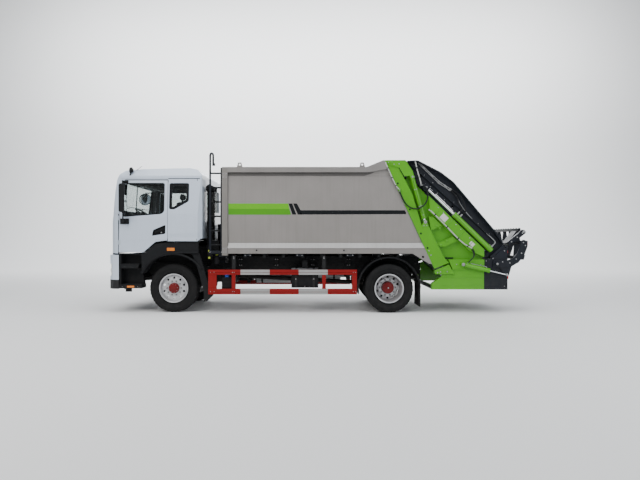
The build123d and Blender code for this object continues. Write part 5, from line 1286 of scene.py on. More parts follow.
# the free hose from the clamp on the left post to the manifold on the tailgate
HOSE_ROUTE = [(4711, -1250, 2519), (4753, -1253, 2420), (4803, -1257, 2310), (4872, -1260, 2222), (4968, -1262, 2168),
              (5075, -1263, 2156), (5172, -1262, 2192), (5246, -1260, 2268), (5290, -1257, 2362), (5300, -1254, 2462),
              (5287, -1251, 2550), (5243, -1249, 2622), (5186, -1248, 2648)]
hose_line = nurbs_line("hose_route", HOSE_ROUTE)
hb = Bits()
hb.sweep(hose_line, 13.0, 14, 0)
hose_obj = hb.done("loop_hose_rubber", None, [HOSE], blend=("chassis", "tailgate", P(4711, -1250, 2519), P(5186, -1248, 2648)))
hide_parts("loop_hose")
hose_len = sum((b2 - a2).length for a2, b2 in zip(hose_line, hose_line[1:])) / 1000.0
tuple(P(*HOSE_ROUTE[0]))
[tuple(P(*q)) for q in hose_line]

for hand, sy in (("left", -1), ("right", 1)):
    r = Bits()
    # post: weld beads on both edges, bolted pads, small holes, hinge boss
    for off, y in ((2, 1236), ):
        r.cyl((rear_edge(3150, 4), sy * y, 3150), (rear_edge(940, 4), sy * y, 940), 4, 8, 0)
    r.cyl((4801 + (2813 - 3150) * 0.5068 - 6, sy * 1236, 3150), (4801 + (2813 - 2990) * 0.5068 - 6, sy * 1236, 2990), 4, 8, 0)
    r.cyl((5110 + 16, sy * 1236, 2190), (4801 + (2813 - 1200) * 0.5068 - 8, sy * 1236, 1200), 4, 8, 0)
    for z in (2690, 2150, 1650, 1350):
        x = rear_edge(z, 58)
        r.lathe((x, sy * 1234, z), (0, sy, 0), [(0, 20), (3, 20), (5, 16), (2, 12), (2, 0)], 16, 1)
    for z in (1290, 1200):
        x = rear_edge(z, 60)
        r.hexnut((x, sy * 1235, z), (0, sy, 0), 12, 10, 2)
    r.lathe((4532, sy * 1251, 3128), (0, sy, 0), [(-3, 40), (3, 40), (5, 36), (5, 28), (10, 26), (12, 20), (12, 0)], 26, 0)
    # dark seam and liner between the post and the tailgate, lower clevis bolt
    r.box(5176, 5196, sy * 1226, sy * 1240, 1776, 1800, 0, b=3)
    r.lathe((5250, sy * 1236, 1887), (0, sy, 0), [(-2, 34), (5, 34), (8, 28), (8, 20), (14, 18), (14, 0)], 20, 2)
    r.hexnut((5218, sy * 1236, 1812), (0, sy, 0), 9, 8, 2)
    r.hexnut((5276, sy * 1236, 1812), (0, sy, 0), 9, 8, 2)
    r.done("rear_frame_details_" + hand, "chassis", [GREEN, PLASTIC, STEEL, NAVY, AMBER])

    t = Bits()
    # upper ear: bolts, dark seam liner, edge bead
    for x, z in ((4480, 3118), (4600, 3080), (4700, 3090)):
        t.hexnut((x, sy * 1250, z), (0, sy, 0), 10, 7, 2, stud=False)
    for p, q in (((4698, 3012), (4812, 2818)), ((4812, 2818), (4850, 2836))):
        t.cyl((p[0], sy * 1248, p[1]), (q[0], sy * 1248, q[1]), 8, 8, 1)
    t.cyl((4838, sy * 1250, 3158), (4976, sy * 1250, 2946), 4, 8, 0)
    t.cyl((4976, sy * 1250, 2946), (5008, sy * 1250, 2840), 4, 8, 0)
    t.lathe((4980, sy * 1240, 2824), (0, sy, 0), [(-4, 38), (5, 38), (8, 32), (8, 22), (15, 20), (15, 0)], 22, 2)
    # slope beam: weld beads, stiffening ribs, bolts
    for n, s0, s1 in ((-96, 160, 1740), (-314, 430, 1552)):
        t.cyl(on_slope(s0, n, sy * 1216), on_slope(s1, n, sy * 1216), 4.5, 8, 0)
    for s in (520, 860, 1200, 1480):
        slope_box(t, s - 5, s + 5, -300, -110, sy * 1214, sy * 1222, 0, 2)
    for s in (470, 620, 980, 1120, 1380):
        t.hexnut(on_slope(s, -130, sy * 1215), (0, sy, 0), 10, 8, 2, stud=False)
    # hopper skin: pressed ribs, drain plug, door of the valve space
    for z in (560, 720):
        t.box(5600, 6450, sy * 1204, sy * 1210, z, z + 18, 0, b=3)
    t.box(5860, 6420, sy * 1226, sy * 1231, 918, 930, 0, b=2)
    t.box(5860, 6420, sy * 1226, sy * 1231, 1082, 1094, 0, b=2)
    for x in (5900, 6150, 6400):
        t.hexnut((x, sy * 1228, 1006), (0, sy, 0), 9, 7, 2, stud=False)
    for x, z in ((5560, 850), (5700, 860), (5500, 838)):
        t.hexnut((x, sy * 1242, z), (0, sy, 0), 12, 10, 2)
    # pins and caps on the lower ribs
    for x, z, rr in ((5569, 1400, 26), (5700, 1500, 20), (5480, 1810, 18), (5560, 1760, 14)):
        t.lathe((x, sy * 1180, z), (0, sy, 0), [(-2, rr + 8), (5, rr + 8), (7, rr), (14, rr - 2), (16, rr - 8), (16, 0)], 22, 0)
    t.cyl((4801 + (2813 - 1470) * 0.5068 + 20, sy * 1180, 1472), (5600, sy * 1180, 1472), 4, 8, 0)
    t.cyl((5606, sy * 1180, 1476), (5824, sy * 1180, 1580), 4, 8, 0)
    t.cyl((5336, sy * 1180, 1996), (5416, sy * 1180, 1996), 4, 8, 0)
    # lock claw on the foot
    t.prism([(5600, 905), (5700, 940), (5730, 900), (5690, 852), (5600, 848)], sy * 1240, sy * 1246, 0, b=3)
    # seals along the wall's front edge
    t.box(5470, 5860, sy * 1101, sy * 1112, 1124, 1150, 1, b=3)
    # blank label plates on the beam
    cx, cz = slope(705, -200)
    t.box(cx - 75, cx + 75, sy * 1215, sy * 1218.5, cz - 62, cz + 62, 3, b=1, turn=TURN_S)
    cx, cz = slope(1500, -190)
    t.box(cx - 52, cx + 52, sy * 1215, sy * 1218.5, cz - 40, cz + 40, 3, b=1, turn=TURN_S)
    t.done("tailgate_details_" + hand, "tailgate", [GREEN, PLASTIC, STEEL, PLATE])

    q = Bits()
    # black side plate: rim beads, bolts, ribbed wear strip under the slide's rod, cable clips
    for (x0, z0), (x1, z1) in (((5090, 3172), (5570, 2926)), ((5574, 2924), (5836, 2722)), ((5842, 2716), (6738, 1662)), ((6742, 1656), (6880, 1444))):
        q.cyl((x0, sy * 1204, z0), (x1, sy * 1204, z1), 5, 8, 0)
    slope_box(q, 70, 756, -98, -84, sy * 1100, sy * 1116, 0, 2)
    for k in range(34):
        slope_box(q, 74 + 20 * k, 84 + 20 * k, -97, -78, sy * 1104, sy * 1120, 0, 1)
    for s, n in ((-200, 150), (40, 160), (330, 150), (640, 170), (980, 190), (1320, 205), (1640, 210)):
        q.hexnut(on_slope(s, n + 24, sy * 1100), (0, sy, 0), 9, 8, 1)
    for s in (60, 260, 460, 700):
        q.hexnut(on_slope(s, 90, sy * 1112), (0, sy, 0), 8, 7, 1, stud=False)
    for x, z, rr in ((5186, 2866, 22), (5843, 2216, 24)):
        q.lathe((x, sy * 1099, z), (0, sy, 0), [(0, rr + 9), (4, rr + 9), (5, rr + 2), (0, rr + 1)], 20, 0)
    # barrels' feet straps and bolts, glands
    for s in (930, 1810):
        for n in (-1, 1):
            q.hexnut(on_slope(s, n * 76, sy * 1100), (0, sy, 0), 12, 11, 1)
        q.lathe(on_slope(s - 24, 0, sy * 1180), (TURN_S @ Vector((1, 0, 0))), [(0, 56), (0, 60), (48, 60), (48, 56)], 30, 2)
    d = TURN_S @ Vector((1, 0, 0))
    q.lathe(on_slope(798, 0, sy * 1180), d, [(-14, 40), (-14, 50), (-10, 54), (0, 54)], 30, 1)
    q.lathe(on_slope(1883, 0, sy * 1180), d, [(-2, 55), (8, 53), (16, 36), (18, 0)], 30, 2)
    for k in range(8):
        g = radians(45 * k)
        off = TURN_S @ Vector((0, 45 * cos(g), 45 * sin(g)))
        q.hexnut(Vector(on_slope(790, 0, sy * 1180)) + off, -d, 6, 6, 1, stud=False)
    # two chrome fittings on the barrel's head and one at its foot
    up = TURN_S @ Vector((0, 0, 1))
    for s in (858, 934, 1840):
        o0 = Vector(on_slope(s, 52, sy * 1180))
        q.lathe(o0, up, [(0, 20), (16, 20), (18, 16), (22, 16)], 18, 1)
        q.lathe(o0 + up * 20, up, [(0, 18), (26, 18), (28, 14)], 6, 1, smooth=False)
        q.lathe(o0 + up * 46, up, [(0, 15), (20, 15), (22, 12)], 16, 1)
    # two bright pipes side by side with a coupling, then dark hoses to the head
    for k, (dx, dz) in enumerate(((0, 0), (22, 24))):
        y = sy * (1124 + 4 * k)
        q.cyl((5113 + dx, y, 3128 + dz * 0.4), (5542 + dx, y, 2709 + dz), 10, 12, 1)
        q.cyl((5542 + dx, y, 2709 + dz), (5781 + dx, y, 2553 + dz), 10, 12, 1)
        for (ax, az), (bx, bz) in (((5113, 3128), (5542, 2709)), ((5542, 2709), (5781, 2553))):
            dd = Vector((bx - ax, 0, bz - az)).normalized()
            q.lathe(Vector((bx + dx, y, bz + dz)) - dd * 30, dd, [(0, 16), (40, 16)], 6, 1, smooth=False)
            q.lathe(Vector((bx + dx, y, bz + dz)) + dd * 12, dd, [(0, 13), (22, 13), (24, 11)], 14, 1)
        if k == 0:
            e = Vector(on_slope(858, 128, sy * 1180))
            q.tube([(5786, y, 2549), (5868, y - sy * 0 + sy * 16, 2484), (5930, sy * 1160, 2380), (5962, sy * 1178, 2270),
                    e + up * 74, e], 12.5, 12, 3)
        else:
            e = Vector(on_slope(934, 128, sy * 1180))
            q.tube([(5808, y, 2572), (5910, sy * 1150, 2510), (6010, sy * 1170, 2400), (6062, sy * 1182, 2290),
                    e + up * 92, e], 12.5, 12, 3)
    for (x, z) in ((5230, 3020), (5400, 2850), (5680, 2634)):
        q.box(x - 22, x + 46, sy * 1100, sy * 1142, z - 6, z + 22, 1, b=4, turn=TURN_S)
    # return pipe along the barrel to its foot
    q.tube([on_slope(1840, 118, sy * 1180), on_slope(1836, 170, sy * 1180), on_slope(1780, 196, sy * 1160), on_slope(1500, 200, sy * 1130),
            on_slope(1100, 205, sy * 1128), on_slope(800, 250, sy * 1126), on_slope(560, 330, sy * 1122)], 10, 12, 1)
    for s in (1560, 1180):
        slope_box(q, s - 14, s + 14, 184, 222, sy * 1100, sy * 1144, 0, 3)
    q.done("side_plate_details_" + hand, "tailgate", [NAVY, STEEL, GREEN, HOSE])

    # bands, ports and pipe of the lift cylinder; they swing with its barrel
    LU, LL = Vector((4980, sy * 1180, 2824)), Vector((5250, sy * 1180, 1887))
    u = (LL - LU).normalized()
    c = Bits()
    for d0, rr in ((60, 51), (860, 56), (884, 53)):
        c.lathe(LU + u * d0, u, [(0, rr - 4), (0, rr), (14, rr), (14, rr - 4)], 28, 0)
    c.lathe(LU + u * 898, u, [(0, 44), (6, 44), (8, 34)], 26, 1)
    side_v = Vector((0, sy, 0))
    c.lathe(LU + u * 820 + side_v * 44, side_v, [(0, 14), (12, 14), (14, 10)], 14, 1)
    c.tube([LU + u * 820 + side_v * 54, LU + u * 760 + side_v * 58, LU + u * 500 + side_v * 54, LU + u * 160 + side_v * 54, LU + u * 90 + side_v * 48], 7, 10, 0)
    for d0 in (260, 620):
        c.lathe(LU + u * d0, u, [(0, 48), (0, 50.5), (16, 50.5), (16, 48)], 28, 1)
    c.done("lift_cylinder_details_" + hand, "lift_barrel", [GREEN, STEEL])
    c = Bits()
    c.lathe(LL + side_v * 33, side_v, [(0, 30), (5, 30), (7, 24), (7, 0)], 20, 0)
    c.hexnut(LL + side_v * 38, side_v, 13, 8, 0, stud=False)
    c.done("lift_rod_details_" + hand, "lift_rod", [STEEL])

    # lifter: cylinder bands, ports, nuts, stops
    A, B = Vector((6018, sy * 1283, 1009)), Vector((6921, sy * 1283, 797))
    u = (B - A).normalized()
    c = Bits()
    for d0, rr in ((44, 47), (520, 50), (548, 47)):
        c.lathe(A + u * d0, u, [(0, rr - 4), (0, rr), (16, rr), (16, rr - 4)], 26, 0)
    c.lathe(A + u * 560, u, [(0, 36), (6, 36), (8, 24)], 24, 1)
    for d0 in (100, 500):
        c.lathe(A + u * d0 + Vector((0, 0, 40)), (0, 0, 1), [(0, 13), (16, 13), (18, 9)], 6, 1, smooth=False)
    c.tube([A + u * 500 + Vector((0, 0, 58)), A + u * 470 + Vector((0, 0, 66)), A + u * 300 + Vector((0, 0, 58)), A + u * 160 + Vector((0, 0, 58))], 7, 10, 1)
    c.lathe(A + side_v * 30, side_v, [(0, 34), (5, 34), (7, 26), (12, 24), (12, 0)], 22, 1)
    c.done("lifter_cylinder_details_" + hand, "lifter_barrel", [GREEN, STEEL])
    c = Bits()
    c.lathe(B + side_v * 20, side_v, [(0, 22), (4, 22), (6, 16), (6, 0)], 18, 0)
    c.done("lifter_rod_details_" + hand, "lifter_rod", [STEEL])
    c = Bits()
    c.lathe((6730, sy * 1262, 1020), (0, sy, 0), [(-6, 44), (4, 44), (6, 38)], 26, 1)
    c.lathe((6730, sy * 1264, 1020), (0, sy, 0), [(0, 25), (18, 25), (21, 21)], 6, 0, smooth=False)
    c.lathe((6730, sy * 1284, 1020), (0, sy, 0), [(0, 17), (8, 17), (10, 12), (10, 0)], 16, 0)
    # two short hoses from the bundle's end; rim beads of the black hopper side
    c.cyl((6480, sy * 1205, 490), (6955, sy * 1205, 490), 5, 8, 1)
    c.cyl((6956, sy * 1205, 494), (6956, sy * 1205, 1380), 5, 8, 1)
    for z in (560, 700, 840):
        c.box(6500, 6940, sy * 1203, sy * 1209, z, z + 16, 1, b=3)
    for x, z in ((6520, 1080), (6660, 1130), (6900, 1290), (6900, 560)):
        c.hexnut((x, sy * 1205, z), (0, sy, 0), 10, 4, 0, stud=False)
    c.done("lifter_pivot_details_" + hand, "tailgate", [STEEL, NAVY])
    for k in (0, 1):
        hh = Bits()
        dz = 26 * k
        hh.tube([(6226 - 14 * k, sy * 1226, 1344 - dz), (6262 - 10 * k, sy * 1232, 1270 - dz), (6252 - 16 * k, sy * 1256, 1180 - dz),
                 (6190 - 20 * k, sy * 1276, 1106 - dz * 0.4), (6126 + 16 * k, sy * 1283, 1052)], 9.5, 12, 0)
        hh.done("lifter_short_hose_%s_%d" % (hand, k + 1), None, [HOSE],
                blend=("tailgate", "lifter_barrel", P(6240, sy * 1228, 1330), P(6130, sy * 1283, 1052)))
    # light spiral-wrapped bundle under the slope beam, in clips
    s0 = Bits()
    pts = [(5327, sy * 1190, 2150), (5400, sy * 1222, 2086), (5602, sy * 1228, 1884), (5790, sy * 1228, 1690), (5961, sy * 1228, 1514),
           (6090, sy * 1228, 1412), (6222, sy * 1228, 1346)]
    s0.sweep(smooth_line([Vector(p) for p in pts], 26), 13, 12, 0, 0.16, 26)
    for (x, z) in ((5450, 2038), (5700, 1784), (5930, 1547), (6130, 1391)):
        s0.box(x - 12, x + 12, sy * 1214, sy * 1246, z - 20, z + 20, 1, b=4, turn=TURN_S)
    s0.done("wrapped_bundle_" + hand, "tailgate", [SPIRAL, PLASTIC])

# bundle down the left post's edge to the clamp, and the one down the tailgate to the manifold
s = Bits()
pts = [(4420, -1238, 3128), (4436, -1250, 3080), (4500, -1250, 2934), (4580, -1250, 2756), (4650, -1250, 2620), (4700, -1250, 2566)]
s.sweep(smooth_line([Vector(p) for p in pts], 30), 12, 12, 0, 0.18, 26)
for x, z in ((4470, 3004), (4556, 2808), (4640, 2640)):
    s.box(x - 20, x + 20, -1264, -1234, z - 9, z + 9, 1, b=4)
s.hexnut((4711, -1264, 2550), (0, -1, 0), 9, 8, 2)
s.lathe((4709, -1250, 2527), (0.36, 0, -0.93), [(-4, 15), (10, 15), (12, 12)], 16, 2)
s.done("post_bundle", "chassis", [SPIRAL, PLASTIC, STEEL])
s = Bits()
pts = [(5044, -1216, 3140), (5060, -1226, 3060), (5080, -1240, 2959), (5124, -1250, 2800), (5146, -1250, 2720), (5152, -1249, 2672)]
s.sweep(smooth_line([Vector(p) for p in pts], 26), 13, 12, 0, 0.16, 26)
for x, z in ((5068, 3010), (5118, 2818)):
    s.box(x - 22, x + 22, -1262, -1200, z - 9, z + 9, 1, b=4)
    s.box(x - 8, x + 8, -1206, -1098, z - 8, z + 8, 1, b=3)
s.hexnut((5152, -1262, 2653), (0, -1, 0), 12, 10, 2)
s.lathe((5188, -1248, 2648), (-0.9, 0, 0.4), [(-4, 16), (14, 16)], 6, 2, smooth=False)
s.done("tailgate_bundle", "tailgate", [SPIRAL, PLASTIC, STEEL])

# rear: lamp lenses, ribs of the rear wall, blank plate, steps' grips, work lamps
r = Bits()
for sy in (-1, 1):
    for y0, y1, mat in ((868, 956, 1), (964, 1052, 0), (1060, 1112, 2), (1118, 1172, 3)):
        r.box(6988, 6996, sy * y0, sy * y1, 708, 792, mat, b=4)
        for k in range(5):
            r.box(6995, 6998, sy * (y0 + 6), sy * (y1 - 6), 716 + 15 * k, 724 + 15 * k, mat, b=1)
    r.lathe((6984, sy * 740, 750), (1, 0, 0), [(0, 32), (4, 34), (8, 32), (9, 0)], 26, 0)
    for z in (850, 960, 1070, 1180):
        r.box(6962, 6972, sy * 100, sy * 1040, z, z + 26, 4, b=4)
    for y in (1120, 640):
        r.box(6962, 6976, sy * (y - 14), sy * (y + 14), 560, 1330, 4, b=4)
    for z in (600, 700, 1250, 1320):
        r.hexnut((6976, sy * 1120, z), (1, 0, 0), 10, 8, 5)
    r.box(6964, 6972, sy * 1150, sy * 1200, 1240, 1300, 0, b=3)
r.box(6964, 6970, -270, 270, 640, 760, 6, b=3)
r.box(6970, 6974, -256, 256, 652, 748, 3, b=2)
for y in (-240, 240):
    r.box(6966, 6990, y - 40, y + 40, 766, 790, 7, b=5)
    r.box(6972, 6986, y - 32, y + 32, 762, 768, 3, b=2)
r.box(6962, 6974, -1200, 1200, 1345, 1362, 4, b=4)
r.box(6940, 6974, -1180, 1180, 1384, 1394, 7, b=4)
for y in (-900, 900):
    r.box(5084, 5140, y - 60, y + 60, 3060, 3130, 7, b=8)
    r.box(5138, 5144, y - 50, y + 50, 3068, 3122, 3, b=4)
    r.box(5068, 5090, y - 12, y + 12, 3040, 3140, 5, b=3)
r.done("rear_wall_details", "tailgate", [REDLENS, AMBER, LENS, LENS, NAVY, STEEL, PLATE, PLASTIC])

# roof cover of the tailgate: ribs and seam bolts
r = Bits()
for y in (-960, -480, 0, 480, 960):
    r.box(4630, 4992, y - 16, y + 16, 3160, 3168, 0, b=3)
for y in range(-1000, 1001, 200):
    r.hexnut((5030, y, 3140), (0, 0, 1), 9, 7, 1, stud=False)
r.done("tailgate_cover_details", "tailgate", [GREEN, STEEL])

# slide: wear strips, bolts and nozzles; it travels with the packer
r = Bits()
for sy in (-1, 1):
    slope_box(r, -400, 480, -30, 40, sy * 1071, sy * 1078, 0, 2)
    for s in range(-360, 480, 90):
        r.hexnut(on_slope(s, 8, sy * 1077), (0, sy, 0), 8, 5, 1, stud=False)
    r.lathe(on_slope(0, 0, sy * 1212), (0, sy, 0), [(-2, 40), (4, 40), (6, 32), (10, 30), (10, 0)], 24, 0)
    r.hexnut(on_slope(0, 0, sy * 1222), (0, sy, 0), 16, 10, 1, stud=False)
    for s in (1020, 1060):
        r.hexnut(on_slope(s, -250, sy * 1072), (0, sy, 0), 9, 7, 1, stud=False)
for y in range(-960, 961, 160):
    r.hexnut(on_slope(160, 70, y), TURN_S @ Vector((0, 0, 1)), 9, 7, 1, stud=False)
for y in (-840, -300, 0, 300, 840):
    slope_box(r, -320, 110, -20, -12, y - 22, y + 22, 0, 3)
r.done("slide_details", "packer", [NAVY, STEEL])

# scraper: wear edge and its bolts
r = Bits()
SPIN = (5832.0, 1702.0)
bd = Vector((cos(radians(-130)), 0, sin(radians(-130))))
bn = Vector((-bd.z, 0, bd.x))
tip = Vector((SPIN[0], 0, SPIN[1])) + bd * 600
for y in range(-960, 961, 120):
    r.hexnut(tip + Vector((0, y, 0)) - bn * 25, -bn, 9, 7, 1, stud=False)
    r.hexnut(tip + Vector((0, y, 0)) + bn * 25, bn, 9, 7, 1, stud=False)
for sy in (-1, 1):
    r.lathe((SPIN[0], sy * 1030, SPIN[1]), (0, sy, 0), [(-2, 56), (4, 56), (6, 50), (6, 34)], 26, 1)
r.done("scraper_details", "scraper", [NAVY, STEEL])

# lifter: bolts on the arms, rubber stops, comb tips, grips and reflectors
r = Bits()
for sy in (-1, 1):
    for x, z in ((6850, 1060), (7000, 1040), (7130, 1120), (7240, 1240), (7320, 1400), (7280, 1462)):
        r.hexnut((x, sy * 1241, z), (0, sy, 0), 11, 9, 1, stud=False)
    for (x0, z0), (x1, z1) in (((7022, 962), (7174, 1052)), ((7182, 1062), (7296, 1204)), ((7302, 1212), (7362, 1384))):
        r.cyl((x0, sy * 1240, z0), (x1, sy * 1240, z1), 4, 8, 0)
    r.lathe((7294, sy * 1212, 1462), (0, sy, 0), [(-3, 58), (3, 58), (6, 50)], 26, 0)
    r.lathe((7340, sy * 980, 1700), (1, 0, 0), [(0, 34), (20, 34), (26, 28), (28, 0)], 20, 2)
    r.box(7366, 7372, sy * 1213, sy * 1240, 1400, 1490, 3, b=2)
# slanted box bars of the clamp, one near each arm
for sy in (-1, 1):
    r.prism([(7012, 1462), (7068, 1392), (7140, 1448), (7404, 1654), (7412, 1686), (7380, 1728), (7348, 1730)],
            min(sy * 940, sy * 1030), max(sy * 940, sy * 1030), 0, b=4)
    for x, z in ((7110, 1478), (7230, 1572), (7340, 1660)):
        r.hexnut((x, sy * 1030, z), (0, sy, 0), 12, 10, 1, stud=False)
    r.lathe((7366, sy * 1030, 1690), (0, sy, 0), [(-2, 26), (6, 26), (9, 20), (9, 0)], 18, 1)
for k in range(12):
    y = -880 + 160 * k
    r.prism([(7300, 1756), (7344, 1756), (7338, 1768), (7322, 1776), (7306, 1768)], y - 16, y + 16, 0)
for y in (-760, -380, 0, 380, 760):
    r.hexnut((7345, y, 1200), (1, 0, 0.3), 10, 8, 1, stud=False)
r.done("lifter_details", "bin_lifter", [NAVY, STEEL, HOSE, REFLRED])

# ------------------------------------------------------------ cab interior
def pad_shape(name, pts, y0, y1, crown):
    """Closed crowned cushion: the outline (x, z) seen from the side, subdivided, its sides pulled in a little."""
    b = Bits()
    cols = 9
    n = len(pts)
    vs, fs = [], []
    cx = sum(p[0] for p in pts) / n
    cz = sum(p[1] for p in pts) / n
    for j in range(cols):
        t = -1 + 2 * j / (cols - 1)
        y = (y0 + y1) / 2 + (y1 - y0) / 2 * t
        k = 1.0 - 0.10 * abs(t) ** 4
        for x, z in pts:
            vs.append(P(cx + (x - cx) * k, y, cz + (z - cz) * k))
    for j in range(cols - 1):
        for i in range(n):
            i2 = (i + 1) % n
            fs.append([j * n + i, j * n + i2, (j + 1) * n + i2, (j + 1) * n + i])
    fs.append(list(range(n)))
    fs.append([(cols - 1) * n + i for i in range(n)])
    b.add(vs, fs, 0, True)
    o = b.done(name, "cab", [FABRIC], angle=180)
    return o


def puff(o, voxel, cap, pressure=4.0):
    """Cloth pressure swells the pad; the movement of each point is capped and applied to its mesh."""
    bpy.context.view_layer.update()
    rest_parent = o.parent
    world = o.matrix_world.copy()
    rm = o.modifiers.new("remesh", "REMESH")
    rm.mode = "VOXEL"
    rm.voxel_size = voxel
    dg = bpy.context.evaluated_depsgraph_get()
    me = bpy.data.meshes.new_from_object(o.evaluated_get(dg))
    o.modifiers.remove(rm)
    old = o.data
    o.data = me
    me.name = old.name + "_puffed"
    for p in me.polygons:
        p.use_smooth = True
    start = [v.co.copy() for v in me.vertices]
    cl = o.modifiers.new("swell", "CLOTH")
    cl.settings.use_pressure = True
    cl.settings.uniform_pressure_force = pressure
    cl.settings.effector_weights.gravity = 0.0
    cl.settings.quality = 4
    cl.settings.mass = 0.3
    cl.settings.tension_stiffness = 12
    cl.settings.compression_stiffness = 12
    cl.settings.bending_stiffness = 0.5
    for f in range(1, 15):
        SCENE.frame_set(f)
    dg = bpy.context.evaluated_depsgraph_get()
    got = bpy.data.meshes.new_from_object(o.evaluated_get(dg))
    moved = [v.co.copy() for v in got.vertices]
    o.modifiers.remove(cl)
    SCENE.frame_set(1)
    if len(moved) == len(start):
        for v, a, b2 in zip(me.vertices, start, moved):
            d = b2 - a
            if d.length > cap:
                d = d.normalized() * cap
            v.co = a + d
    bpy.data.meshes.remove(got)
    for p in me.polygons:
        p.use_smooth = True
    return o


def seam(bits, pts, r=4.5):
    bits.tube(pts, r, 8, 0)


seat_objs = []
piping = Bits()
frames = Bits()
for tag, sy in (("driver", -1), ("mate", 1)):
    ya, yb = sorted((sy * 415, sy * 865))
    base = pad_shape("seat_base_" + tag, [(-520, 1862), (-300, 1845), (-90, 1834), (-70, 1870), (-95, 1912), (-300, 1918), (-500, 1934), (-545, 1905)], ya, yb, 0.1)
    back = pad_shape("seat_back_" + tag, [(-48, 1960), (30, 1956), (62, 2080), (92, 2300), (100, 2330), (60, 2350), (10, 2340), (-32, 2180), (-50, 2060)], ya, yb, 0.1)
    head = pad_shape("seat_head_" + tag, [(34, 2392), (84, 2380), (112, 2440), (112, 2496), (76, 2512), (42, 2500), (26, 2440)], *sorted((sy * 510, sy * 770)), 0.1)
    for o, fill in ((base, 0.7), (back, 0.7), (head, 0.8)):
        puff(o, 0.009, 0.018)
        seat_objs.append(o)
    for y in (ya + 26, (ya + yb) / 2 - 88, (ya + yb) / 2 + 88, yb - 26):
        seam(piping, [(-520, y, 1936), (-420, y, 1934), (-300, y, 1928), (-160, y, 1924), (-84, y, 1904)], 3.5)
        seam(piping, [(-54, y, 2000), (-50, y, 2060), (-38, y, 2180), (-4, y, 2320)], 3.5)
    frames.cyl((70, sy * 560, 2300), (76, sy * 560, 2410), 7, 12, 0)
    frames.cyl((70, sy * 720, 2300), (76, sy * 720, 2410), 7, 12, 0)
    # suspension base with bellows folds, rails and the slide lever
    for k in range(7):
        z = 1560 + 36 * k
        frames.box(-490 + (k % 2) * 12, -110 - (k % 2) * 12, *sorted((sy * 490, sy * 800)), z, z + 26, 1, b=8)
    frames.box(-520, -90, *sorted((sy * 440, sy * 840)), 1812, 1840, 1, b=8)
    frames.box(-500, -100, *sorted((sy * 500, sy * 530)), 1542, 1556, 0, b=3)
    frames.box(-500, -100, *sorted((sy * 760, sy * 790)), 1542, 1556, 0, b=3)
    frames.tube([(-520, sy * 560, 1826), (-556, sy * 560, 1820), (-560, sy * 640, 1818), (-556, sy * 720, 1820), (-520, sy * 720, 1826)], 7, 8, 0)
    # belt from its reel by the door to the buckle
    yo = sy * 905
    frames.box(96, 150, *sorted((yo, yo + sy * 40)), 1900, 2040, 1, b=6)
    frames.prism([(100, 2040), (146, 2040), (152, 2480), (112, 2480)], *sorted((yo + sy * 6, yo + sy * 9)), 2)
bunk = pad_shape("bunk_pad", [(196, 1782), (360, 1774), (532, 1782), (536, 1830), (528, 1876), (360, 1886), (204, 1876), (192, 1830)], -1066, 1066, 0.1)
puff(bunk, 0.012, 0.014)
frames.box(204, 526, -1060, 1060, 1694, 1766, 1, b=8)
seat_objs.append(bunk)
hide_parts("seats")
fr = frames.done("seat_frames", "cab", [STEEL, INTERIOR, PIPING])
piping.done("seat_piping", "cab", [PIPING])
for o in seat_objs:
    me = o.data
    if not me.materials:
        me.materials.append(FABRIC)

# steering wheel: round grip on its rim with finger ridges, spokes, hub pad
wc = Vector((-785, -640, 2075))
wa = Vector((sin(radians(32)), 0, cos(radians(32))))
wu = Vector((0, 1, 0))
ww = wa.cross(wu)
g0 = wc + wa * 13
st = Bits()
ring = []
for i in range(73):
    g = 2 * math.pi * i / 72
    ring.append(g0 + (wu * cos(g) + ww * sin(g)) * 210)
vs, fs = [], []
n = 12
for i in range(72):
    g = 2 * math.pi * i / 72
    rad = wu * cos(g) + ww * sin(g)
    rr = 15.0 + (0.7 if i % 6 in (0, 1) else 0.0)
    for j in range(n):
        h = 2 * math.pi * j / n
        vs.append(P(*(g0 + rad * (210 + rr * cos(h)) + wa * rr * sin(h))))
for i in range(72):
    for j in range(n):
        i2, j2 = (i + 1) % 72, (j + 1) % n
        fs.append([i * n + j, i2 * n + j, i2 * n + j2, i * n + j2])
st.add(vs, fs, 0, True)
for a0 in (0, 180, 270):
    g = radians(a0)
    dirv = wu * cos(g) + ww * sin(g)
    st.tube([g0 + dirv * 60 - wa * 14, g0 + dirv * 130 - wa * 6, g0 + dirv * 202], 11, 10, 0)
st.lathe(g0 - wa * 30, wa, [(0, 40), (10, 62), (28, 72), (42, 68), (50, 46), (52, 0)], 28, 0)
st.lathe(g0 + wa * 18, wa, [(0, 30), (3, 30), (5, 22), (5, 0)], 24, 1)
st.lathe(g0 - wa * 64, wa, [(0, 34), (34, 34)], 20, 0)
for sgn in (-1, 1):
    st.tube([g0 - wa * 50, g0 - wa * 46 + wu * sgn * 90, g0 - wa * 40 + wu * sgn * 170], 7, 8, 0)
sw = st.done("steering_wheel_grip", "cab", [INTERIOR, STEEL])
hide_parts("steering_wheel")

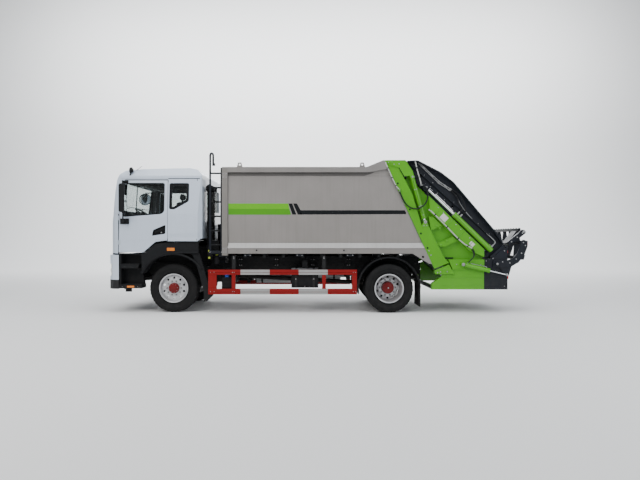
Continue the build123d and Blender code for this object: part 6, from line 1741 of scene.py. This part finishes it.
# dashboard: dials, vents, switches, radio blank, cup well, glove box seam, pedals, roof console
d = Bits()
for k, (y, rr) in enumerate(((-690, 52), (-570, 52), (-455, 30), (-770, 30))):
    d.lathe((-872, y, 2072), (0.75, 0, 0.66), [(0, rr + 6), (8, rr + 6), (10, rr), (4, rr - 3), (4, 0)], 28, 0)
    d.lathe((-868, y, 2075), (0.75, 0, 0.66), [(0, rr - 5), (1.5, rr - 5), (2, 0)], 28, 2)
for y in (-830, -330, 330, 830):
    d.box(-868, -852, y - 60, y + 60, 1960, 2010, 0, b=5)
    for k in range(5):
        d.box(-856, -846, y - 54, y + 54, 1965 + 9 * k, 1969 + 9 * k, 1, b=1)
d.box(-838, -814, -150, 150, 1900, 1960, 0, b=5)
d.box(-816, -812, -130, 130, 1908, 1952, 2, b=2)
for i in range(8):
    d.box(-820, -808, -200 + 52 * i, -166 + 52 * i, 1830, 1860, 0, b=4)
for i in range(3):
    d.lathe((-822, -90 + 90 * i, 1780), (1, 0, 0), [(0, 24), (14, 22), (16, 18), (16, 0)], 22, 0)
d.box(-880, -846, 380, 840, 1830, 1930, 0, b=8)
d.box(-1180, -1020, -700, 700, 2098, 2118, 0, b=6)
for y in (-560, -640, -740):
    d.box(-1010, -950, y - 28, y + 28, 1420, 1520, 0, b=8, turn=turn_y(20))
    d.cyl((-985, y, 1500), (-1020, y, 1640), 8, 10, 1)
d.tube([(-560, -260, 1700), (-560, -255, 1800), (-550, -250, 1880)], 12, 10, 0)
d.ball((-550, -250, 1896), 28, 14, 0)
d.box(-1020, -700, -900, 900, 2690, 2760, 0, b=12)
for y in (-500, 0, 500):
    d.box(-900, -780, y - 70, y + 70, 2680, 2694, 2, b=4)
d.box(-600, 500, -1160, -1140, 1560, 1572, 0, b=4)
d.done("dashboard_details", "cab", [INTERIOR, STEEL, LENS])

# ------------------------------------------------------------------- studio
def stage_material(name, base, rough):
    m = bpy.data.materials.new(name)
    m.use_nodes = True
    nt = m.node_tree
    b = next(n for n in nt.nodes if n.type == "BSDF_PRINCIPLED")
    n1 = node(nt, "ShaderNodeTexNoise", -500)
    n1.inputs["Scale"].default_value = 0.6
    r = node(nt, "ShaderNodeValToRGB", -300)
    r.color_ramp.elements[0].color = (*[v * 0.985 for v in base], 1)
    r.color_ramp.elements[1].color = (*[v * 1.015 for v in base], 1)
    nt.links.new(n1.outputs["Fac"], r.inputs[0])
    nt.links.new(r.outputs[0], b.inputs["Base Color"])
    b.inputs["Roughness"].default_value = rough
    return m


def sheet():
    """Floor that curves up into a backdrop far behind the truck."""
    vs, fs = [], []
    ys = [(-40, 0), (14, 0)] + [(14 + 8 * sin(radians(a)), 8 - 8 * cos(radians(a))) for a in range(9, 91, 9)] + [(22, 30)]
    for y, z in ys:
        vs.append((-60, y, z))
        vs.append((60, y, z))
    for i in range(len(ys) - 1):
        fs.append([2 * i, 2 * i + 1, 2 * i + 3, 2 * i + 2])
    me = bpy.data.meshes.new("studio_floor")
    me.from_pydata(vs, [], fs)
    for p in me.polygons:
        p.use_smooth = True
    me.materials.append(stage_material("studio_paper", (0.80, 0.80, 0.795), 0.75))
    o = bpy.data.objects.new("studio_floor", me)
    SCENE.collection.objects.link(o)
    return o


def area(name, loc, aim, size, power, colour=(1, 1, 1)):
    li = bpy.data.lights.new(name, "AREA")
    li.shape = "RECTANGLE"
    li.size, li.size_y = size
    li.energy = power
    li.color = colour
    o = bpy.data.objects.new(name, li)
    o.location = loc
    o.rotation_euler = (Vector(aim) - Vector(loc)).to_track_quat("-Z", "Y").to_euler()
    SCENE.collection.objects.link(o)
    return o


floor = sheet()
key = area("key_light", (-7.5, -10.5, 9.5), (0.0, 0.0, 1.4), (7.0, 5.0), 1020, (1.0, 0.985, 0.96))
fill = area("fill_light", (9.0, -10.0, 5.5), (0.5, 0.0, 1.3), (8.0, 5.0), 470, (0.93, 0.97, 1.0))
top = area("top_light", (0.0, -2.6, 10.5), (0.0, 0.0, 1.0), (12.0, 7.0), 1150, (0.97, 0.985, 1.0))
back = area("back_light", (2.0, 11.0, 7.0), (0.0, 0.0, 1.6), (10.0, 4.0), 500, (0.95, 0.98, 1.0))
wash = area("backdrop_light", (0.0, 13.0, 15.0), (0.0, 22.0, 7.0), (34.0, 4.0), 8000, (0.97, 0.985, 1.0))
world = bpy.data.worlds.new("studio_world")
world.use_nodes = True
wn = world.node_tree
bg = next(n for n in wn.nodes if n.type == "BACKGROUND")
bg.inputs[0].default_value = (0.80, 0.85, 0.92, 1)
bg.inputs[1].default_value = 0.44
SCENE.world = world

cam = bpy.data.cameras.new("photo_camera")
cam.sensor_width = 36.0
cam.lens = 29.75
co = bpy.data.objects.new("photo_camera", cam)
co.location = (0.1405, -12.2, 1.55)
co.rotation_euler = (radians(90.0 - 0.183), 0.0, 0.0)
SCENE.collection.objects.link(co)
SCENE.camera = co
